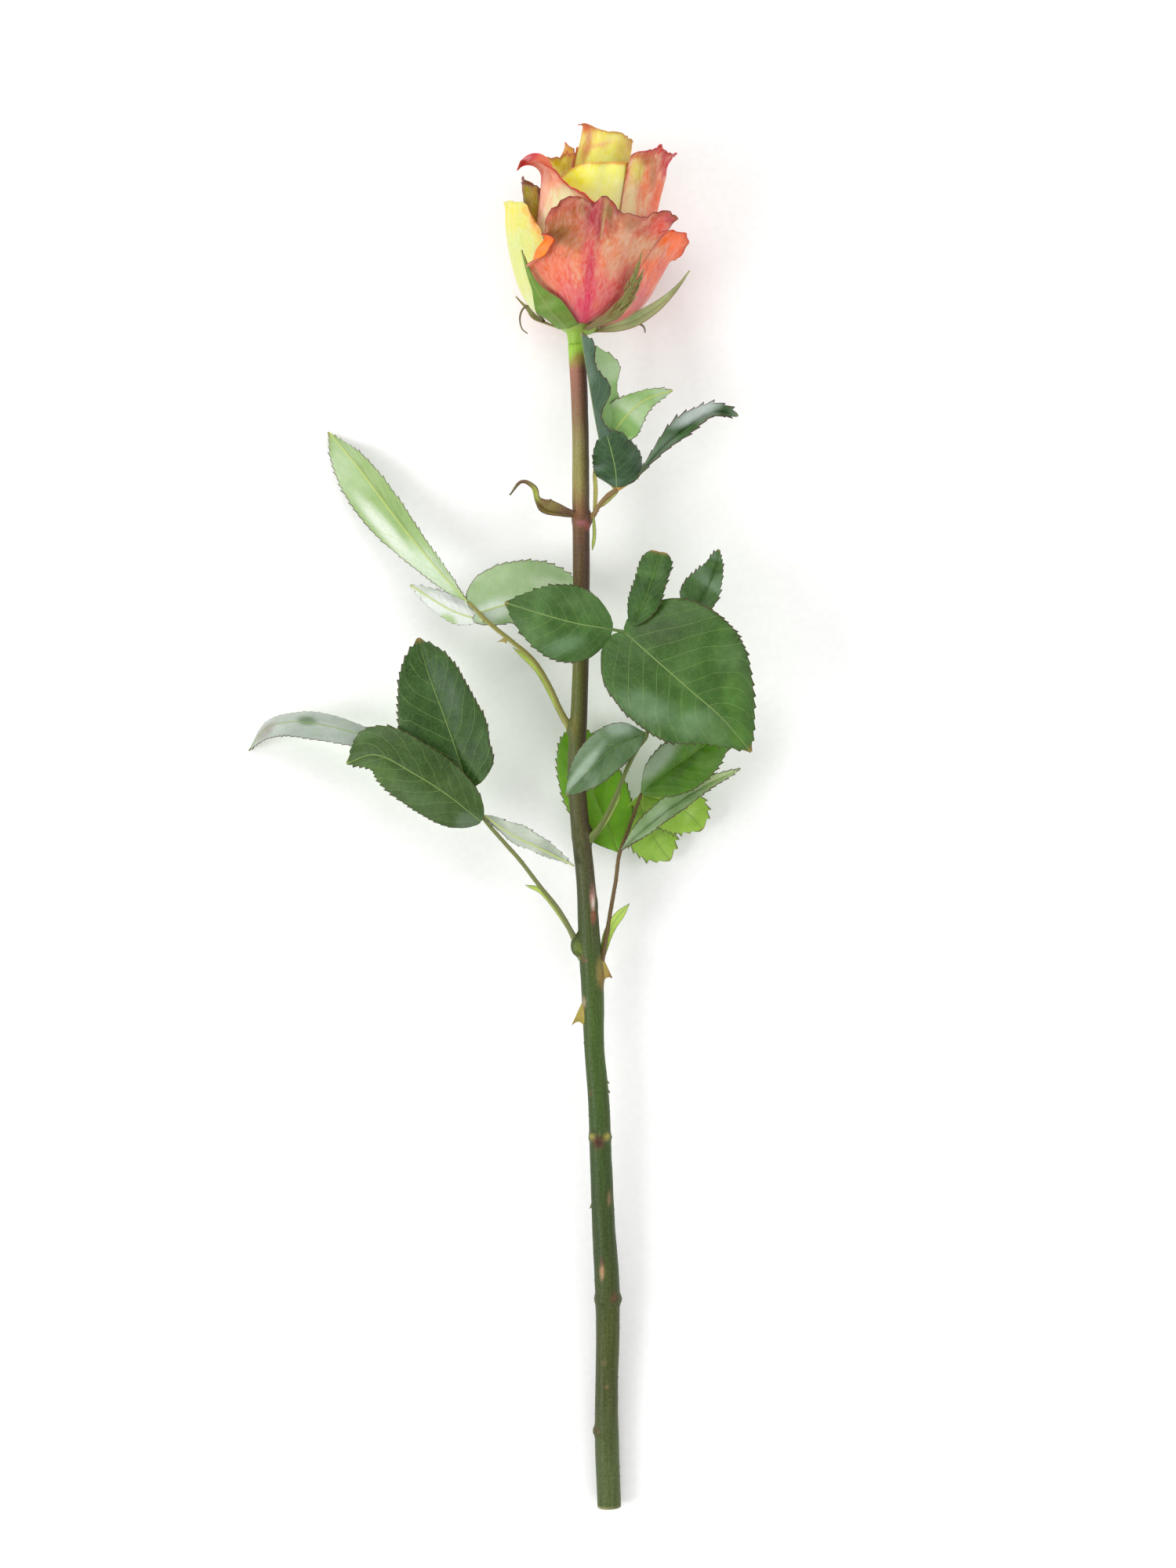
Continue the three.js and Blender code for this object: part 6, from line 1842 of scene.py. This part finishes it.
def turned_body(outline: Rows, codes: str, ribs: float = 0.0) -> tuple[Array, ...]:
    """Turn an outline about the axis of the head.

    Args:
        outline: Distances from the axis and heights, from one end to the other.
        codes: Colours along the outline.
        ribs: How deep its five lengthwise ribs are.

    Returns:
        The rings of places, their colours and the Flat map.
    """
    t = np.linspace(0, 1, 6 * len(outline))[:, None]
    out, height = np.moveaxis(through(outline, t), -1, 0)
    turn = np.linspace(0, 360, 60, endpoint=False)
    wave = 1 + ribs * np.cos(np.radians(turn * 5 + 60))
    rings = head_place(turn, height, out * wave)
    return rings, np.broadcast_to(blend(codes, t), rings.shape), paired(np.radians(turn) * 6, height)


@dataclass
class Bloom:
    """The petals of the flower and the heart that is rolled up inside them."""

    core: Rows = ((0.4, 0), (2.4, 0), (4.6, 8), (5.8, 22), (5, 34), (3.4, 46), (0.4, 50))

    def build(self, finishes: Finishes) -> list[Object]:
        """Build and dress the petals and the heart.

        Args:
            finishes: The materials of the flower.

        Returns:
            The pieces.
        """
        pieces = []
        materials = [finishes.petal_outer, finishes.petal_inner]
        for node, slot, petal in [*outer_petals(), *middle_petals(), *inner_petals()]:
            name = node.removeprefix("petal_") + "_petal"
            skin = Skin()
            petal.add_to(skin)
            pieces.append(place_piece(name, skin.mesh(name, materials), node))
        heart = Skin()
        heart.add_rings(*turned_body(self.core, "#dfe890 #e8e878 #d8b84c"))
        for petal in heart_petals():
            petal.add_to(heart)
        mesh = heart.mesh("rolled_heart", materials)
        pieces.append(place_piece("rolled_heart", mesh, "bloom_heart"))
        return pieces


@dataclass
class Sepal:
    """A sepal: turn, height and distance along its rib, and how far its inner side opens to the front."""

    at: Rows
    half: float
    upper: str
    under: str
    outline: Outline
    fringe: int = 0
    dark: str = "#6c8c44"
    light: str = "#b8cc90"
    seed: int = 1

    def leaflets(self) -> list[Leaflet]:
        """Shape the sepal.

        Returns:
            The blade and, on a feathered sepal, the narrow lobes along its margins.
        """
        turn, height, out, opened = np.array(self.at, float).T
        rib = head_place(turn, height, out)
        angle = np.radians(opened)[:, None]
        face = -head_way(turn) * np.cos(angle) + HEAD_FRONT * np.sin(angle)
        paint = {"upper": f"{self.upper} {GREEN_LUMPS}", "under": f"{self.under} {self.dark} {self.light}"}
        parts = [Leaflet(rib, self.half, self.half, face, self.outline, 4, 8, tooth=0, relief=0.1, thick=0.5,
                         tip="#8a6a44", margin="#8a6a48", veins=4, seed=self.seed, **paint)]
        draw = np.random.default_rng(self.seed)
        for n in range(self.fringe):
            t = 0.12 + 0.56 * (n // 2 + draw.uniform(0, 0.8)) / max(1, self.fringe // 2)
            sign = 1 if n % 2 else -1
            start, end = through(rib, np.array([t, t + 0.12]))
            ahead = unit(end - start)
            look = unit(through(face, np.array([t]))[0])
            side = np.cross(ahead, look) * sign
            reach = self.half * (1 - 0.75 * t) * draw.uniform(0.75, 1.15)
            long = (9.4 - 5 * t) * draw.uniform(0.7, 1.2)
            middle = start + side * reach + ahead * long * 0.4 - look * 0.4
            tip = start + side * reach * draw.uniform(0.9, 1.35)
            tip = tip + ahead * long - look * (0.5 + 0.3 * (n % 3))
            parts.append(Leaflet([start, middle, tip], 0.42, 0.42, [look, look], Outline.LANCE, tooth=0,
                                 relief=0, thick=0.35, tip="#7a4a34", margin="#7a6a3c", veins=1,
                                 seed=self.seed + n, **paint))
        return parts


@dataclass
class Calyx:
    """The cup under the petals with its five sepals and a thin curled tip."""

    cup: Rows = (
        (0.3, -7.2), (2.1, -7.2), (2.5, -6.3), (2.85, -4.8), (3.5, -3.1), (5.4, -2.1), (6.3, -1.1), (6, 0.2),
        (0.3, 0.2))
    curls: Sequence[tuple[Rows, Numbers]] = (
        ([[-124, 1, 13.6], [-112, 4, 15.6], [-104, 5, 17], [-100, 3.4, 18.8], [-98, 0.2, 19.2],
          [-98, -2.8, 18.2], [-98, -4.3, 16.2]],
         [0.5, 0.45, 0.4, 0.35, 0.3, 0.25, 0.2]),
        ([[90, 1.6, 17], [90, 2.2, 18.8], [90, 2, 20.5], [90, 0.9, 21.5], [90, -0.4, 21.8]],
         [0.5, 0.4, 0.35, 0.28, 0.2]))
    sepals: Sequence[Sepal] = (
        Sepal(
            [(-28, -2.2, 6, 0), (-31, 1.2, 16.4, 0), (-36, 5.2, 20.8, 0), (-40, 9.6, 24, 0),
             (-42.5, 14, 26.4, 0), (-44.5, 18.8, 28.2, 0)],
            5, "#cfdcb4", "#648c28", Outline.TAILED, dark="#74752c", light="#9cb46c", seed=71),
        Sepal(
            [(44, -1.8, 5, 0), (41, 1.6, 16.2, 0), (40, 6, 21.4, 0), (39.6, 11, 25, 0), (39, 16, 27.4, 0),
             (38, 21.6, 29, 0)],
            3.4, "#a9a468", "#8a7440", Outline.TAILED, fringe=14, dark="#64442c", light="#a09a4c", seed=72),
        Sepal(
            [(84, -2, 5, 0), (83, 2.2, 16.4, 50), (85, 7.4, 24, 60), (88, 13.8, 29.6, 70),
             (90, 21.2, 34, 70)],
            2.4, "#b4c48c", "#8ea45c", Outline.SEPAL, dark="#7c7c4c", light="#d4dcb8", seed=73),
        Sepal(
            [(-126, -1.8, 5, 0), (-125, 1.4, 16.4, 0), (-120, 5, 20, 0), (-112, 8.2, 23, 0)], 1.6, "#b4cc98",
            "#a8bc84", Outline.SEPAL, seed=74),
        Sepal(
            [(172, -1.8, 5, 0), (172, 1.6, 16.4, 0), (171, 8.2, 22.2, 0), (170, 14, 25.2, 0),
             (170, 19, 26.4, 0)],
            4.4, "#c0d4a4", "#6c9c48", Outline.SEPAL, seed=75))

    def build(self, finishes: Finishes) -> Object:
        """Build and dress the calyx.

        Args:
            finishes: The materials of the flower.

        Returns:
            The calyx.
        """
        skin = Skin()
        for sepal in self.sepals:
            for leaflet in sepal.leaflets():
                leaflet.add_to(skin)
        stems = Skin()
        stems.add_rings(*turned_body(self.cup, "#94c03c #94bc40 #90a848 #a8a860", 0.03))
        for rows, radii in self.curls:
            Rod(head_place(*np.array(rows, float).T), radii, top="#6f6450", flank="#8a8a58").add_to(stems)
        skin.join(stems)
        mesh = skin.mesh("calyx_and_sepals", [finishes.sepal_inner, finishes.sepal_outer, finishes.stalk])
        return place_piece("calyx_and_sepals", mesh, "calyx")


# The whole flower, its table and its light.


@dataclass
class Studio:
    """The table, the soft lights and the camera."""

    camera_place: tuple[float, float, float] = (0.0282, 0.0148, 1.0)
    lens: float = 69.17
    sky: float = 0.5
    # Name, place, width and power of each light.
    softboxes: Sequence[tuple[str, Numbers, float, float]] = (
        ("key_softbox", (-1.0, -0.25, 0.78), 0.75, 9.5), ("top_softbox", (-0.35, 1.05, 0.8), 0.75, 7.0),
        ("fill_softbox", (1.05, 0.3, 0.85), 0.9, 5.5), ("low_softbox", (0.3, -1.05, 0.8), 0.9, 4.5))

    def build(self) -> None:
        """Build the table, the lights and the camera."""
        self.table()
        for name, place, size, power in self.softboxes:
            self.light(name, place, size, power)
        world = bpy.data.worlds.new("soft_white_room")
        world.use_nodes = True
        ground = world.node_tree.nodes["Background"]
        ground.inputs["Color"].default_value = paint_of("#ffffff")
        ground.inputs["Strength"].default_value = self.sky
        bpy.context.scene.world = world
        bpy.context.scene.view_settings.view_transform = "Standard"
        data = bpy.data.cameras.new("camera")
        data.lens = self.lens
        data.sensor_width = 36
        camera = bpy.data.objects.new("camera", data)
        camera.location = self.camera_place
        bpy.context.scene.collection.objects.link(camera)
        bpy.context.scene.camera = camera

    @staticmethod
    def table() -> None:
        """Build the table top."""
        mesh = bpy.data.meshes.new("table_top")
        half = 3.0
        low = -0.0002
        corners = [(-half, -half, low), (half, -half, low), (half, half, low), (-half, half, low)]
        mesh.from_pydata(corners, [], [(0, 1, 2, 3)])
        mesh.materials.append(TableFinish("matte white table", "#f6f6f4").material())
        top = bpy.data.objects.new("table_top", mesh)
        bpy.context.scene.collection.objects.link(top)

    @staticmethod
    def light(name: str, place: Numbers, size: float, power: float) -> None:
        """Hang a square softbox that points at the middle of the flower.

        Args:
            name: The light's name.
            place: Where it hangs, in metres.
            size: Its width in metres.
            power: Its power in watts.
        """
        data = bpy.data.lights.new(name, "AREA")
        data.size = size
        data.energy = power
        lamp = bpy.data.objects.new(name, data)
        away = unit(np.array(place))
        lamp.location = place
        lamp.rotation_euler = (math.acos(away[2]), 0, math.atan2(away[1], away[0]) + math.pi / 2)
        bpy.context.scene.collection.objects.link(lamp)


def build_stem(finishes: Finishes) -> None:
    """Build the stem and the breathing pores on its bark.

    Args:
        finishes: The materials of the flower.
    """
    mesh = CutStem().skin().mesh("cut_stem", [finishes.bark])
    size = (0.16, 0.42, 0.12)
    pores = Scatter("stem_pores", Shape.BREATHING_PORE, 45000, size, -236, -60, 4, finishes.pore)
    dots = pores.over(mesh.copy())
    place_piece("cut_stem", mesh, "stem")
    place_piece("stem_pores", dots, "stem")


def main() -> None:
    """Build the rose, its table and its light."""
    logging.basicConfig(level=logging.INFO, format="%(message)s")
    Studio().build()
    finishes = Finishes()
    build_stem(finishes)
    for leaf in (upper_leaf(), bract_leaf(), upper_left_leaf(), front_right_leaf(), rear_right_leaf(),
                 lower_left_leaf()):
        leaf.build(finishes)
    Calyx().build(finishes)
    Bloom().build(finishes)


if __name__ == "__main__":
    main()
